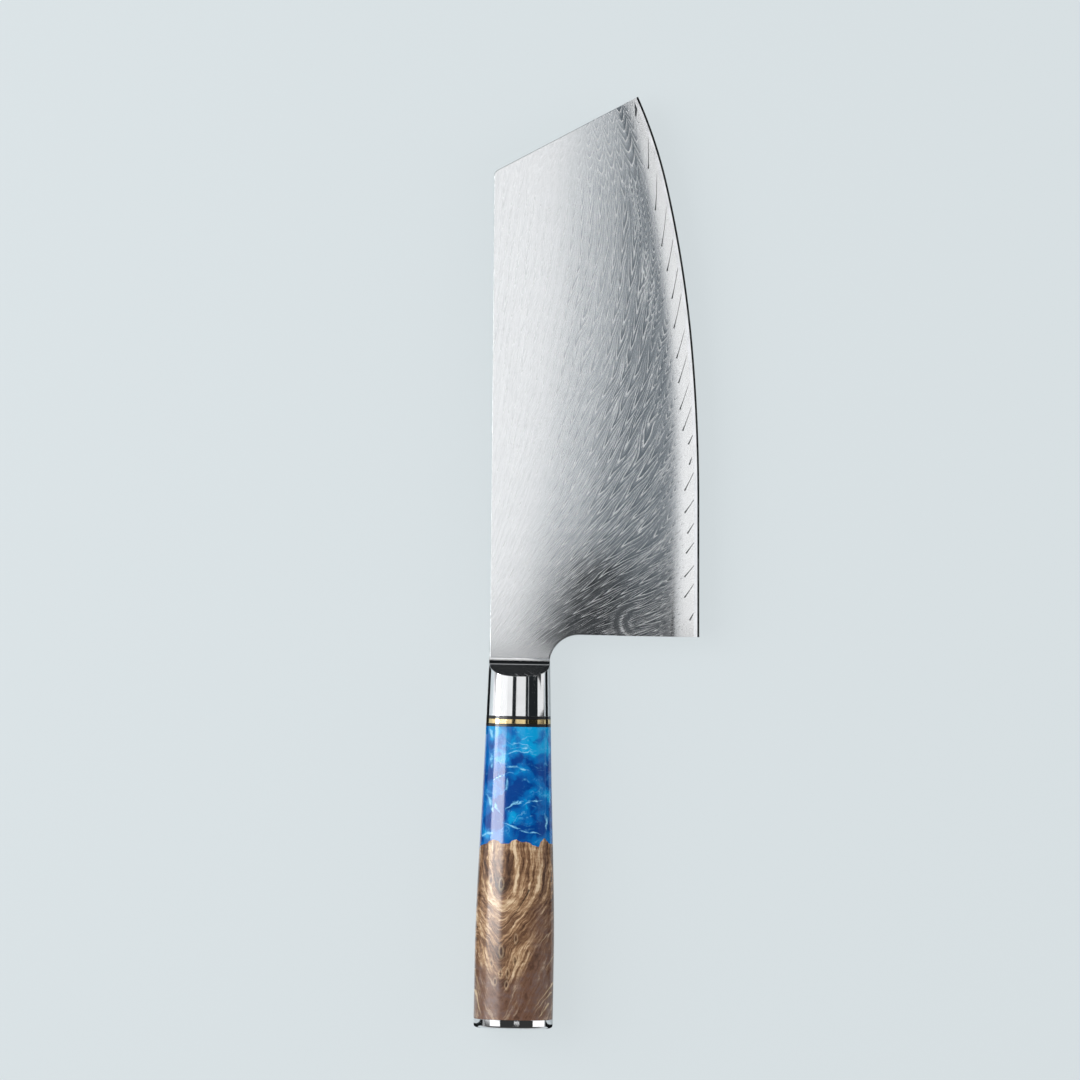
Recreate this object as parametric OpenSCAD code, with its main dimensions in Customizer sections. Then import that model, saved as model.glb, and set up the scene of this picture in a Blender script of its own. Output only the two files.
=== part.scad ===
// Kitchen knife with a laminated blade and a resin and burl handle.
// It lies on its side: +Y runs along the handle towards the tip, +X towards the cutting edge.
// The origin is at the centre of the knife's footprint, on the surface that it lies on.
// The modules draw in the handle's own axes, with zero at the front of the bolster,
// and placed() moves what they draw to that origin.

/* [Blade] */
// Length from the heel to the tip
blade_length = 180; // [140:1:240]
// Height at the heel, from the spine to the edge
blade_height = 69.8; // [50:0.1:85]
// Distance from the front of the bolster to the heel
heel_gap = 9.7; // [8:0.1:20]
// Radius of the choil between the neck and the heel
choil_radius = 10; // [6:0.5:12]
// Lean of the spine away from the handle's axis, in degrees
spine_lean = 0.5; // [0:0.1:2]
// Angle of the clipped point across the blade, in degrees
clip_angle = 28.6; // [15:0.1:45]
// Radius of the corner between the spine and the clipped point
clip_corner_radius = 2.4; // [0.5:0.1:6]

/* [Cutting edge outline] */
// Straight length of the edge from the heel
flat_length = 45; // [20:1:60]
// Lean of the edge's straight stretch towards the spine, in degrees
edge_lean = 1; // [0:0.1:3]
// Radius of the edge past its straight stretch
rear_radius = 600; // [400:10:1000]
// Radius of the edge in the middle of its curve
fore_radius = 400; // [300:10:700]
// Radius of the edge at the tip
tip_radius = 160; // [130:5:250]

/* [Blade section] */
// Thickness of the spine at the bolster
spine_thickness = 2.2; // [1.8:0.05:3]
// Thickness of the spine level with the tip
spine_tip_thickness = 1.8; // [1.5:0.05:1.8]
// Thickness at the heel where the wide bevel starts
shoulder_thickness = 1.9; // [1.6:0.05:2]
// Width of the wide bevel at the heel
bevel_width = 7.2; // [4:0.1:10]
// Thickness behind the cutting bevel
edge_thickness = 0.35; // [0.2:0.01:0.5]
// Width of the cutting bevel
cutting_bevel_width = 0.5; // [0.3:0.05:1]
// Thickness that is left at the very edge
edge_land = 0.04; // [0.02:0.01:0.08]
// Thickness of the core layer
core_thickness = 0.6; // [0.55:0.05:0.9]

/* [Tang] */
// Width of the tang
tang_width = 10; // [8:0.5:12]
// Thickness of the tang
tang_thickness = 1.8; // [1.4:0.1:1.9]
// Length of the tang behind the rear liner
tang_reach = 24; // [18:1:26]
// Diameter of the rod that carries the tang on to the butt
rod_diameter = 5; // [4:0.5:6]
// Length of the rod's slot over the tang
rod_slot_length = 12; // [6:1:14]

/* [Bolster] */
// Length of the bolster
bolster_length = 17.6; // [14:0.1:25]
// Length of its slanted front faces, measured along the knife
nose_length = 4.3; // [3:0.1:8]
// Radius of the fillet between the slanted faces and the blade
nose_fillet_radius = 3; // [1:0.1:4]
// Thickness of the fillet's thin front edge
nose_lip = 0.1; // [0.05:0.01:0.3]
// Depth of the slot that holds the neck
seat_depth = 4; // [3:0.1:8]
// How far the bolster stands proud of the neck on each side
neck_inset = 0.25; // [0.1:0.05:0.6]
// How far each face of the neck is dressed back inside the bolster
neck_relief = 0.1; // [0.08:0.01:0.15]

/* [Handle] */
// Width of the handle at the front of the bolster
front_width = 20.4; // [18:0.1:26]
// Thickness of the handle at the front of the bolster
front_thickness = 17.5; // [15:0.1:24]
// Width where the straight taper ends
waist_width = 22.6; // [19:0.1:28]
// Thickness where the straight taper ends
waist_thickness = 19.4; // [17:0.1:26]
// Width of the handle at the butt
butt_width = 26.4; // [22:0.1:32]
// Thickness of the handle at the butt
butt_thickness = 22.8; // [20:0.1:30]
// Length of the straight taper from the front of the bolster
taper_length = 36; // [25:1:50]
// Length over which the handle then swells to the butt's size
swell_length = 62; // [40:1:80]
// Squareness of the oval section, where 2 is an ellipse
oval_power = 2.6; // [2:0.1:4]

/* [Liners] */
// Thickness of the front liner
front_liner_thickness = 1; // [0.5:0.1:3]
// Thickness of the brass liner
brass_liner_thickness = 1.5; // [0.5:0.1:4]
// Thickness of the rear liner
rear_liner_thickness = 1; // [0.5:0.1:3]

/* [Grip] */
// Mean length of the resin section
resin_length = 38.5; // [34:0.5:60]
// Mean length of the burl section
burl_length = 59; // [40:0.5:90]
// Largest swing of the wavy joint between them
joint_wave = 2.4; // [0.5:0.1:3]

/* [Butt] */
// Thickness of the end cap at its rim
cap_thickness = 3; // [2:0.1:6]
// Height of the end cap's dome
cap_dome = 0.4; // [0.1:0.1:1.5]
// Radius of the end cap's rounded rim
cap_rim_radius = 0.9; // [0.3:0.1:1.5]
// Length of the end cap's spigot
spigot_length = 2.5; // [1:0.1:5]
// Diameter of the washer
washer_diameter = 10; // [9.5:0.5:12]
// Thickness of the washer
washer_thickness = 1; // [0.5:0.1:2]
// Width of the nut across its flats
nut_width = 8; // [7.5:0.5:10]
// Thickness of the nut
nut_thickness = 4; // [3:0.1:6]
// Angle of the chamfer on the nut's corners, in degrees
nut_chamfer_angle = 30; // [20:1:40]
// Length of the rod that stands out of the nut
rod_stand_out = 1.5; // [0.5:0.1:3]

/* [Fits] */
// Gap on each side of the neck and the tang in their slots
slot_clearance = 0.05; // [0.02:0.01:0.2]
// Gap round the rod in the burl
rod_clearance = 0.2; // [0.05:0.05:0.5]
// Gap round the rod in the washer and the nut
thread_clearance = 0.05; // [0.02:0.01:0.1]
// Gap round the end cap's spigot and round the washer in the counterbore
counterbore_clearance = 0.05; // [0.02:0.01:0.3]
// Gap between the rod's end and the end cap's spigot
rod_end_gap = 0.3; // [0.1:0.1:1]
// Least thickness of the bedding round the tang
bedding_wall = 0.9; // [0.5:0.1:1.5]
// Length of the bedding past the tang's end
bedding_end = 3; // [1:0.5:4]

/* [Hidden] */

// How far cutting shapes run past what they cut
overrun = 5;
// Facets of a full circle in the preview
round_facets = 96;
// Steps along each arc of the cutting edge
rear_steps = 8;
fore_steps = 10;
tip_steps = 24;
// Facets round the handle's oval section
oval_facets = 64;
// Steps between the sections of each grip piece, and round the end cap's rim and over its dome
resin_steps = 5;
burl_steps = 8;
rim_steps = 4;
dome_steps = 3;

// Blade outline
neck_x = front_width / 2 - neck_inset;
heel_point = [blade_height - neck_x, heel_gap];
tip_y = heel_gap + blade_length;

// Shares of the curved edge's length that its rear and fore arcs take
rear_arc_share = 0.38;
fore_arc_share = 0.41;
curved_length = blade_length - flat_length;
rear_turn = rear_arc_share * curved_length / rear_radius * 180 / PI;
fore_turn = fore_arc_share * curved_length / fore_radius * 180 / PI;

// Headings of the edge, and the points where its arcs start
fore_heading = edge_lean + rear_turn;
tip_heading = fore_heading + fore_turn;
rear_start = heel_point + flat_length * [-sin(edge_lean), cos(edge_lean)];
fore_start = arc_end(rear_start, edge_lean, rear_radius, rear_turn);
tip_start = arc_end(fore_start, fore_heading, fore_radius, fore_turn);
tip_centre = tip_start - tip_radius * [cos(tip_heading), sin(tip_heading)];
tip_end_heading = asin((tip_y - tip_centre[1]) / tip_radius);
tip_point = [tip_centre[0] + tip_radius * cos(tip_end_heading), tip_y];
// Turn of the last arc past the tip, so that it covers the spine's corner too
past_tip_turn = 25;

// The clipped point's corner with the spine: the spine's line met by the clip's line
spine_slope = tan(spine_lean);
clip_slope = tan(clip_angle);
corner_y = (tip_y - clip_slope * (tip_point[0] + neck_x)) / (1 + clip_slope * spine_slope);
corner_point = [-neck_x - spine_slope * corner_y, corner_y];
corner_half_angle = (90 + clip_angle - spine_lean) / 2;
corner_reach = clip_corner_radius / tan(corner_half_angle);
spine_way = [sin(spine_lean), -cos(spine_lean)];
clip_way = [cos(clip_angle), sin(clip_angle)];
corner_centre = corner_point + corner_reach * spine_way
    + clip_corner_radius * [cos(spine_lean), sin(spine_lean)];

// Blade section
grind_reach = blade_height + 2 * overrun;
bevel_slope = (shoulder_thickness - edge_thickness) / 2 / bevel_width;
bevel_run = cutting_bevel_width + (spine_thickness - edge_thickness / 2) / bevel_slope;
face_across = atan((spine_thickness - shoulder_thickness) / 2 / blade_height);
face_along = atan((spine_thickness - spine_tip_thickness) / 2 / tip_y);
block_size = 2 * (blade_length + blade_height);

// Places along the handle, counted backwards from the front of the bolster
brass_start = bolster_length + front_liner_thickness;
rear_liner_start = brass_start + brass_liner_thickness;
resin_start = rear_liner_start + rear_liner_thickness;
joint_start = resin_start + resin_length;
cap_start = joint_start + burl_length;
handle_length = cap_start + cap_thickness + cap_dome;
tang_length = resin_start + tang_reach;
bedding_length = tang_reach + bedding_end;

// Handle section
swell_end = taper_length + swell_length;

// Bores and the parts that they hold
bedding_diameter = norm([tang_width, tang_thickness]) + 2 * bedding_wall;
rod_bore = rod_diameter + 2 * rod_clearance;
nut_corners = nut_width / cos(30);
counterbore_diameter = max(washer_diameter, nut_corners) + 2 * counterbore_clearance;
nut_stack = washer_thickness + nut_thickness + rod_stand_out;
counterbore_depth = nut_stack + rod_end_gap + spigot_length;
washer_start = cap_start - counterbore_depth;
rod_start = tang_length - rod_slot_length;
rod_end = washer_start + nut_stack;

// Nose of the bolster, in the plane of the knife's length and thickness
nose_foot = spine_thickness / 2;
nose_rise = half_thickness(nose_length) - nose_foot;
nose_angle = atan(nose_rise / nose_length);
fillet_reach = nose_fillet_radius * tan(nose_angle / 2);
// The neck's shoulder, which stands in front of the fillet's thin edge
seat_thickness = spine_thickness - 2 * neck_relief;
shoulder_y = fillet_reach + slot_clearance;

// Reach of the wavy joint's zone on each side of its middle, as a share of joint_wave
joint_zone_share = 1.3;
// Heights of the wavy joint round the handle as shares of joint_wave, at even angles
// from the edge side over the upper side, as seen, and back below
joint_wave_shares = [
    0.3, 0.25, 0, -0.5, 0.5, -0.05, -0.45, 0.1, -0.3, -0.25, 0.2, 0.75,
    1, 0.6, 0.1, -0.4, -0.2, 0.4, 0.6, 0, -0.5, -0.3, 0.2, 0.4
];

// The knife's origin, seen from the front of the bolster
mid_x = (heel_point[0] - butt_width / 2) / 2;
mid_y = (tip_y - handle_length) / 2;
axis_height = butt_thickness / 2;

// Colours
core_grey = [0.55, 0.57, 0.6];
cladding_grey = [0.72, 0.74, 0.77];
polished_grey = [0.85, 0.86, 0.88];
liner_black = [0.05, 0.05, 0.06];
brass_yellow = [0.8, 0.62, 0.3];
resin_blue = [0.08, 0.35, 0.62];
burl_brown = [0.5, 0.33, 0.18];
bedding_amber = [0.75, 0.65, 0.45];

// End of an arc of the edge that starts at a point with a heading and turns to the spine
function arc_end(start, heading, radius, turn) =
    start + radius * [cos(heading + turn) - cos(heading), sin(heading + turn) - sin(heading)];

// Smooth step from one size to another that starts with a slope and ends level
function swell(from, to, slope, t) =
    from * (2 * pow(t, 3) - 3 * pow(t, 2) + 1)
    + slope * (pow(t, 3) - 2 * pow(t, 2) + t)
    + to * (3 * pow(t, 2) - 2 * pow(t, 3));

// A size of the handle at a place: a straight taper, a swell and then a level butt
function handle_size(front, waist, butt, place) =
    place <= taper_length
        ? front + (waist - front) * place / taper_length
        : place >= swell_end
            ? butt
            : swell(waist, butt, (waist - front) * swell_length / taper_length,
                (place - taper_length) / swell_length);

function half_width(place) = handle_size(front_width, waist_width, butt_width, place) / 2;

function half_thickness(place) =
    handle_size(front_thickness, waist_thickness, butt_thickness, place) / 2;

// A sine or cosine bent to the squareness of the oval
function bent(value) = sign(value) * pow(abs(value), 2 / oval_power);

// A point of the handle's skin at a place and an angle, drawn in by an inset
function skin_point(place, angle, inset = 0) = [
    (half_width(place) - inset) * bent(cos(angle)),
    -place,
    (half_thickness(place) - inset) * bent(sin(angle))
];

function oval_angle(i) = 360 * i / oval_facets;

// A level ring of the skin, with its points moved back by a depth
function ring(place, inset = 0, depth = 0) = [
    for (i = [0 : oval_facets - 1])
        skin_point(place, oval_angle(i), inset) - [0, depth, 0]
];

// Place of the wavy joint at an angle
function joint_place(angle) =
    let (
        count = len(joint_wave_shares),
        step = angle * count / 360,
        low = floor(step),
        blend = (1 - cos(180 * (step - low))) / 2,
        share = joint_wave_shares[low % count] * (1 - blend)
            + joint_wave_shares[(low + 1) % count] * blend
    )
    joint_start + joint_wave * share;

function joint_ring() = [
    for (i = [0 : oval_facets - 1]) skin_point(joint_place(oval_angle(i)), oval_angle(i))
];

// Even places from one end to the other
function places(from, to, steps) = [for (k = [0 : steps]) from + (to - from) * k / steps];

function flatten(lists) = [for (list = lists) each list];

// Faces between each ring of n points and the next
function side_faces(n, rings) = [
    for (k = [0 : rings - 2], i = [0 : n - 1])
        let (a = k * n + i, b = k * n + (i + 1) % n)
        each [[a, a + n, b + n], [a, b + n, b]]
];

// A closed solid through rings that follow each other, with level ends
module skin(rings) {
    n = len(rings[0]);
    last = n * (len(rings) - 1);
    ends = [[for (i = [0 : n - 1]) i], [for (i = [n - 1 : -1 : 0]) last + i]];
    polyhedron(flatten(rings), concat(side_faces(n, len(rings)), ends), convexity = 4);
}

// The same with a point in each end, for ends that aren't level
module skin_to_points(front_point, rings, back_point) {
    n = len(rings[0]);
    count = len(rings);
    front = n * count;
    back = front + 1;
    ends = [
        for (i = [0 : n - 1])
            let (j = (i + 1) % n)
            each [[front, i, j], [back, front - n + j, front - n + i]]
    ];
    points = concat(flatten(rings), [front_point, back_point]);
    polyhedron(points, concat(side_faces(n, count), ends), convexity = 4);
}

// A block of the handle between two places
module handle_block(front_place, back_place) {
    skin([ring(front_place), ring(back_place)]);
}

// A round bar along the handle between two places
module bar(diameter, front_place, back_place) {
    translate([0, -front_place, 0])
        rotate([90, 0, 0])
            cylinder(d = diameter, h = back_place - front_place, $fn = round_facets);
}

// A flat bar along the handle, as the tang and its slots are
module flat_bar(width, thickness, front_place, back_place) {
    translate([-width / 2, -back_place, -thickness / 2])
        cube([width, back_place - front_place, thickness]);
}

// From the handle's axes to the knife's origin
module placed() {
    translate([-mid_x, -mid_y, axis_height]) children();
}

// The blade's ground section, as distances inwards from the edge and heights
grind_profile = [
    [-grind_reach, spine_thickness],
    [-bevel_run, spine_thickness],
    [-cutting_bevel_width, edge_thickness / 2],
    [0, edge_land / 2],
    [0, -edge_land / 2],
    [-cutting_bevel_width, -edge_thickness / 2],
    [-bevel_run, -spine_thickness],
    [-grind_reach, -spine_thickness]
];

// The ground section stood square to the edge at a point with a heading
function grind_section(point, heading) = [
    for (p = grind_profile) [point[0] + p[0] * cos(heading), point[1] + p[0] * sin(heading), p[1]]
];

// Sections along an arc of the edge, from step 1, or from its start for the first arc
function grind_arc(start, heading, radius, turn, steps, first) = [
    for (k = [first : steps])
        let (part = turn * k / steps)
        grind_section(arc_end(start, heading, radius, part), heading + part)
];

// The ground section carried along the whole edge, from behind the heel to past the tip
module grind() {
    run_back = heel_gap + seat_depth + overrun;
    behind_heel = heel_point - run_back * [-sin(edge_lean), cos(edge_lean)];
    tip_turn = tip_end_heading - tip_heading + past_tip_turn;
    skin(concat(
        [grind_section(behind_heel, edge_lean)],
        grind_arc(rear_start, edge_lean, rear_radius, rear_turn, rear_steps, 0),
        grind_arc(fore_start, fore_heading, fore_radius, fore_turn, fore_steps, 1),
        grind_arc(tip_start, tip_heading, tip_radius, tip_turn, tip_steps, 1)
    ));
}

// The blade's outline, left open past the cutting edge
module blade_outline() {
    outside = heel_point[0] + overrun;
    above = tip_point + (outside - tip_point[0]) / cos(clip_angle) * clip_way;
    difference() {
        union() {
            polygon([
                [-neck_x + spine_slope * seat_depth, -seat_depth],
                [neck_x, -seat_depth],
                [neck_x, heel_gap],
                [outside, heel_gap],
                above,
                corner_point + corner_reach * clip_way,
                corner_point + corner_reach * spine_way
            ]);
            translate(corner_centre) circle(clip_corner_radius, $fn = round_facets);
            translate([neck_x, heel_gap - choil_radius]) square(choil_radius);
        }
        translate([neck_x + choil_radius, heel_gap - choil_radius])
            circle(choil_radius, $fn = round_facets);
    }
}

// Everything under the tapered upper face
module under_face() {
    translate([-neck_x, 0, spine_thickness / 2])
        rotate([-face_along, face_across, 0])
            translate([-block_size, -block_size, -block_size])
                cube([2 * block_size, 2 * block_size, block_size]);
}

// What is dressed off the upper face of the neck behind its shoulder
module neck_dressing() {
    translate([-front_width, -seat_depth - overrun, seat_thickness / 2])
        cube([2 * front_width, seat_depth + overrun + shoulder_y, spine_thickness]);
}

// The whole laminated billet: ground blade, neck and tang
module billet() {
    difference() {
        intersection() {
            grind();
            translate([0, 0, -spine_thickness - overrun])
                linear_extrude(2 * (spine_thickness + overrun)) blade_outline();
            under_face();
            mirror([0, 0, 1]) under_face();
        }
        neck_dressing();
        mirror([0, 0, 1]) neck_dressing();
    }
    flat_bar(tang_width, tang_thickness, seat_depth / 2, tang_length);
}

// The part of the billet between two heights
module billet_layer(low, high) {
    intersection() {
        billet();
        translate([-block_size, -block_size, low])
            cube([2 * block_size, 2 * block_size, high - low]);
    }
}

// The side view of the bolster's nose: slanted faces with a concave fillet at their foot
module nose_side() {
    rise = front_thickness * [-1 / tan(nose_angle), 1];
    foot = [0, nose_foot];
    polygon([
        [-bolster_length - overrun, -rise[1]],
        [rise[0], -rise[1]],
        [0, -nose_foot],
        foot,
        rise + foot,
        [-bolster_length - overrun, rise[1]]
    ]);
    for (side = [0, 1])
        mirror([0, side])
            difference() {
                polygon([
                    [0, 0],
                    [fillet_reach, 0],
                    [fillet_reach, nose_foot + nose_lip],
                    foot + fillet_reach * [-cos(nose_angle), sin(nose_angle)],
                    [-fillet_reach, 0]
                ]);
                translate([fillet_reach, nose_foot + nose_lip + nose_fillet_radius])
                    circle(nose_fillet_radius, $fn = round_facets);
            }
}

module blade_core() {
    color(core_grey)
        placed()
            billet_layer(-core_thickness / 2, core_thickness / 2);
}

module cladding_upper() {
    color(cladding_grey)
        placed()
            billet_layer(core_thickness / 2, spine_thickness);
}

module cladding_lower() {
    color(cladding_grey)
        placed()
            billet_layer(-spine_thickness, -core_thickness / 2);
}

module bolster() {
    slot = seat_thickness + 2 * slot_clearance;
    color(polished_grey)
        placed()
            difference() {
                intersection() {
                    handle_block(-overrun, bolster_length);
                    rotate([90, 0, 90])
                        translate([0, 0, -front_width])
                            linear_extrude(2 * front_width) nose_side();
                }
                flat_bar(2 * front_width, slot, -2 * overrun, seat_depth);
                tang_slot(0, bolster_length + overrun);
            }
}

// The slot for the tang between two places
module tang_slot(front_place, back_place) {
    flat_bar(
        tang_width + 2 * slot_clearance,
        tang_thickness + 2 * slot_clearance,
        front_place,
        back_place
    );
}

// A spacer across the handle with a slot for the tang
module liner(front_place, thickness) {
    difference() {
        handle_block(front_place, front_place + thickness);
        tang_slot(front_place - overrun, front_place + thickness + overrun);
    }
}

module front_liner() {
    color(liner_black) placed() liner(bolster_length, front_liner_thickness);
}

module brass_liner() {
    color(brass_yellow) placed() liner(brass_start, brass_liner_thickness);
}

module rear_liner() {
    color(liner_black) placed() liner(rear_liner_start, rear_liner_thickness);
}

module resin_section() {
    level = places(resin_start, joint_start - joint_zone_share * joint_wave, resin_steps);
    color(resin_blue)
        placed()
            difference() {
                skin_to_points(
                    [0, -resin_start, 0],
                    concat([for (place = level) ring(place)], [joint_ring()]),
                    [0, -joint_start, 0]
                );
                bar(bedding_diameter, resin_start - overrun, resin_start + bedding_length);
                bar(rod_bore, resin_start, joint_start + overrun);
            }
}

module burl_section() {
    level = places(joint_start + joint_zone_share * joint_wave, cap_start, burl_steps);
    color(burl_brown)
        placed()
            difference() {
                skin_to_points(
                    [0, -joint_start, 0],
                    concat([joint_ring()], [for (place = level) ring(place)]),
                    [0, -cap_start, 0]
                );
                bar(rod_bore, joint_start - overrun, cap_start);
                bar(counterbore_diameter, washer_start, cap_start + overrun);
            }
}

module end_cap() {
    rim_start = cap_start + cap_thickness - cap_rim_radius;
    rim = [
        for (k = [1 : rim_steps])
            let (a = 90 * k / rim_steps)
            ring(rim_start, cap_rim_radius * (1 - cos(a)), cap_rim_radius * sin(a))
    ];
    span = half_thickness(cap_start) - cap_rim_radius;
    dome = [
        for (k = [1 : dome_steps])
            let (t = k / (dome_steps + 1))
            ring(rim_start, cap_rim_radius + span * t, cap_rim_radius + cap_dome * (1 - pow(1 - t, 2)))
    ];
    color(polished_grey)
        placed() {
            skin_to_points(
                [0, -cap_start, 0],
                concat([ring(cap_start), ring(rim_start)], rim, dome),
                [0, -handle_length, 0]
            );
            bar(
                counterbore_diameter - 2 * counterbore_clearance,
                cap_start - spigot_length,
                cap_start + cap_thickness / 2
            );
        }
}

module tang_rod() {
    color(core_grey)
        placed()
            difference() {
                bar(rod_diameter, rod_start, rod_end);
                flat_bar(2 * rod_diameter, tang_thickness, rod_start - overrun, tang_length);
            }
}

module tang_bedding() {
    color(bedding_amber)
        placed()
            difference() {
                bar(bedding_diameter, resin_start, resin_start + bedding_length);
                flat_bar(tang_width, tang_thickness, resin_start - overrun, tang_length);
                bar(rod_diameter, rod_start, rod_end);
            }
}

module rod_washer() {
    color(polished_grey)
        placed()
            difference() {
                bar(washer_diameter, washer_start, washer_start + washer_thickness);
                bar(rod_diameter + 2 * thread_clearance, washer_start - overrun, rod_end);
            }
}

// Half of the round profile that takes off the nut's corners at both ends
module nut_profile() {
    chamfer = (nut_corners - nut_width) / 2 * tan(nut_chamfer_angle);
    polygon([
        [0, 0],
        [nut_width / 2, 0],
        [nut_corners / 2, chamfer],
        [nut_corners / 2, nut_thickness - chamfer],
        [nut_width / 2, nut_thickness],
        [0, nut_thickness]
    ]);
}

module rod_nut() {
    nut_start = washer_start + washer_thickness;
    color(polished_grey)
        placed()
            difference() {
                translate([0, -nut_start, 0])
                    rotate([90, 0, 0])
                        intersection() {
                            cylinder(d = nut_corners, h = nut_thickness, $fn = 6);
                            rotate_extrude($fn = round_facets) nut_profile();
                        }
                bar(rod_diameter + 2 * thread_clearance, nut_start - overrun, rod_end + overrun);
            }
}

blade_core();
cladding_upper();
cladding_lower();
bolster();
front_liner();
brass_liner();
rear_liner();
resin_section();
burl_section();
end_cap();
tang_rod();
tang_bedding();
rod_washer();
rod_nut();
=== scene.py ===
"""Looks for a kitchen knife: damascus blade, polished bolster and cap, resin and burl handle.

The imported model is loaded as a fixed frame. Each sub-assembly rebuilds its visible pieces at a
finer resolution in the same place, and dresses them in procedural materials. Sizes are in
millimetres in the handle's own axes: zero at the front of the bolster on the handle's axis,
+Y towards the tip, +X towards the cutting edge, +Z out of the face that is seen.
"""

import logging
import math
from dataclasses import dataclass
from enum import Enum
from functools import partialmethod
from typing import Callable, Iterable, Sequence

import bpy
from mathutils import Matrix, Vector


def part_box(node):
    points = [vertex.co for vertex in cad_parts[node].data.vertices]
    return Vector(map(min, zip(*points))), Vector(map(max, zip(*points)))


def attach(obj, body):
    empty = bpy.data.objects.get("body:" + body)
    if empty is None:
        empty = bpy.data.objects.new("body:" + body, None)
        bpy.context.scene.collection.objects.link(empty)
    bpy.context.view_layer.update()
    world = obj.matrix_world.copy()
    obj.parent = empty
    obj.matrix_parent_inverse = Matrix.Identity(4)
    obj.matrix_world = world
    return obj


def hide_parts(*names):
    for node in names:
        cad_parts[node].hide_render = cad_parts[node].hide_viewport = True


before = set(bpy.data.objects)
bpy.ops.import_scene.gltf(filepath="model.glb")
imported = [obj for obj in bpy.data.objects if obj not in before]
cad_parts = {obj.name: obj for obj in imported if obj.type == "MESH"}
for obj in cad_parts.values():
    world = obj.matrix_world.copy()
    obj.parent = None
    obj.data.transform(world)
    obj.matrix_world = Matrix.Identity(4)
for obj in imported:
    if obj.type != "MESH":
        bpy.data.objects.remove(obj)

MM = 0.001
# Metres within which two places are the same
TOUCH = 1e-6

log = logging.getLogger("kitchen_knife")

Colour = tuple[float, float, float]
Point = tuple[float, float]
Socket = bpy.types.NodeSocket
Node = bpy.types.Node
Material = bpy.types.Material
Tree = bpy.types.NodeTree


class Slot(Enum):
    """The record's material slots."""

    CORE = "core_steel"
    DAMASCUS = "damascus_steel"
    POLISHED = "polished_steel"
    FIBRE = "black_fibre"
    BRASS = "brass"
    RESIN = "blue_resin"
    BURL = "burl_wood"


def shade(red: int, green: int, blue: int) -> Colour:
    """Turn a display colour from 0 to 255 into a linear one."""
    def linear(value: int) -> float:
        """Linear share of one channel."""
        v = value / 255
        return v / 12.92 if v <= 0.04045 else ((v + 0.055) / 1.055) ** 2.4
    return linear(red), linear(green), linear(blue)


def toned(colour: Colour, share: float) -> Colour:
    """A colour made darker or lighter by a share."""
    red, green, blue = colour
    return red * share, green * share, blue * share


@dataclass(frozen=True)
class HandleAxes:
    """The handle's own axes inside the frame."""

    origin: Vector

    @classmethod
    def from_frame(cls, bolster_length: float) -> "HandleAxes":
        """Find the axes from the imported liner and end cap.

        Args:
            bolster_length: distance from the front of the bolster to the front liner.

        Returns:
            The axes, with their origin in metres.
        """
        cap_low, cap_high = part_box("end_cap")
        liner_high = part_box("front_liner")[1]
        middle = (cap_low + cap_high) / 2
        return cls(Vector((middle.x, liner_high.y + bolster_length * MM, middle.z)))

    def at(self, x: float, y: float, z: float = 0.0) -> Vector:
        """Turn a point in millimetres into a point of the frame in metres."""
        return self.origin + Vector((x, y, z)) * MM


def arc(centre: Point, radius: float, start: float, end: float, steps: int) -> list[Point]:
    """Points at even steps round an arc, both ends included."""
    angles = (start + (end - start) * k / steps for k in range(steps + 1))
    return [(centre[0] + radius * math.cos(a), centre[1] + radius * math.sin(a)) for a in angles]


def select_only(*objects: bpy.types.Object) -> None:
    """Select these objects and nothing else, and make the last one active."""
    bpy.ops.object.select_all(action="DESELECT")
    for obj in objects:
        obj.select_set(True)
        bpy.context.view_layer.objects.active = obj


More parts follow.
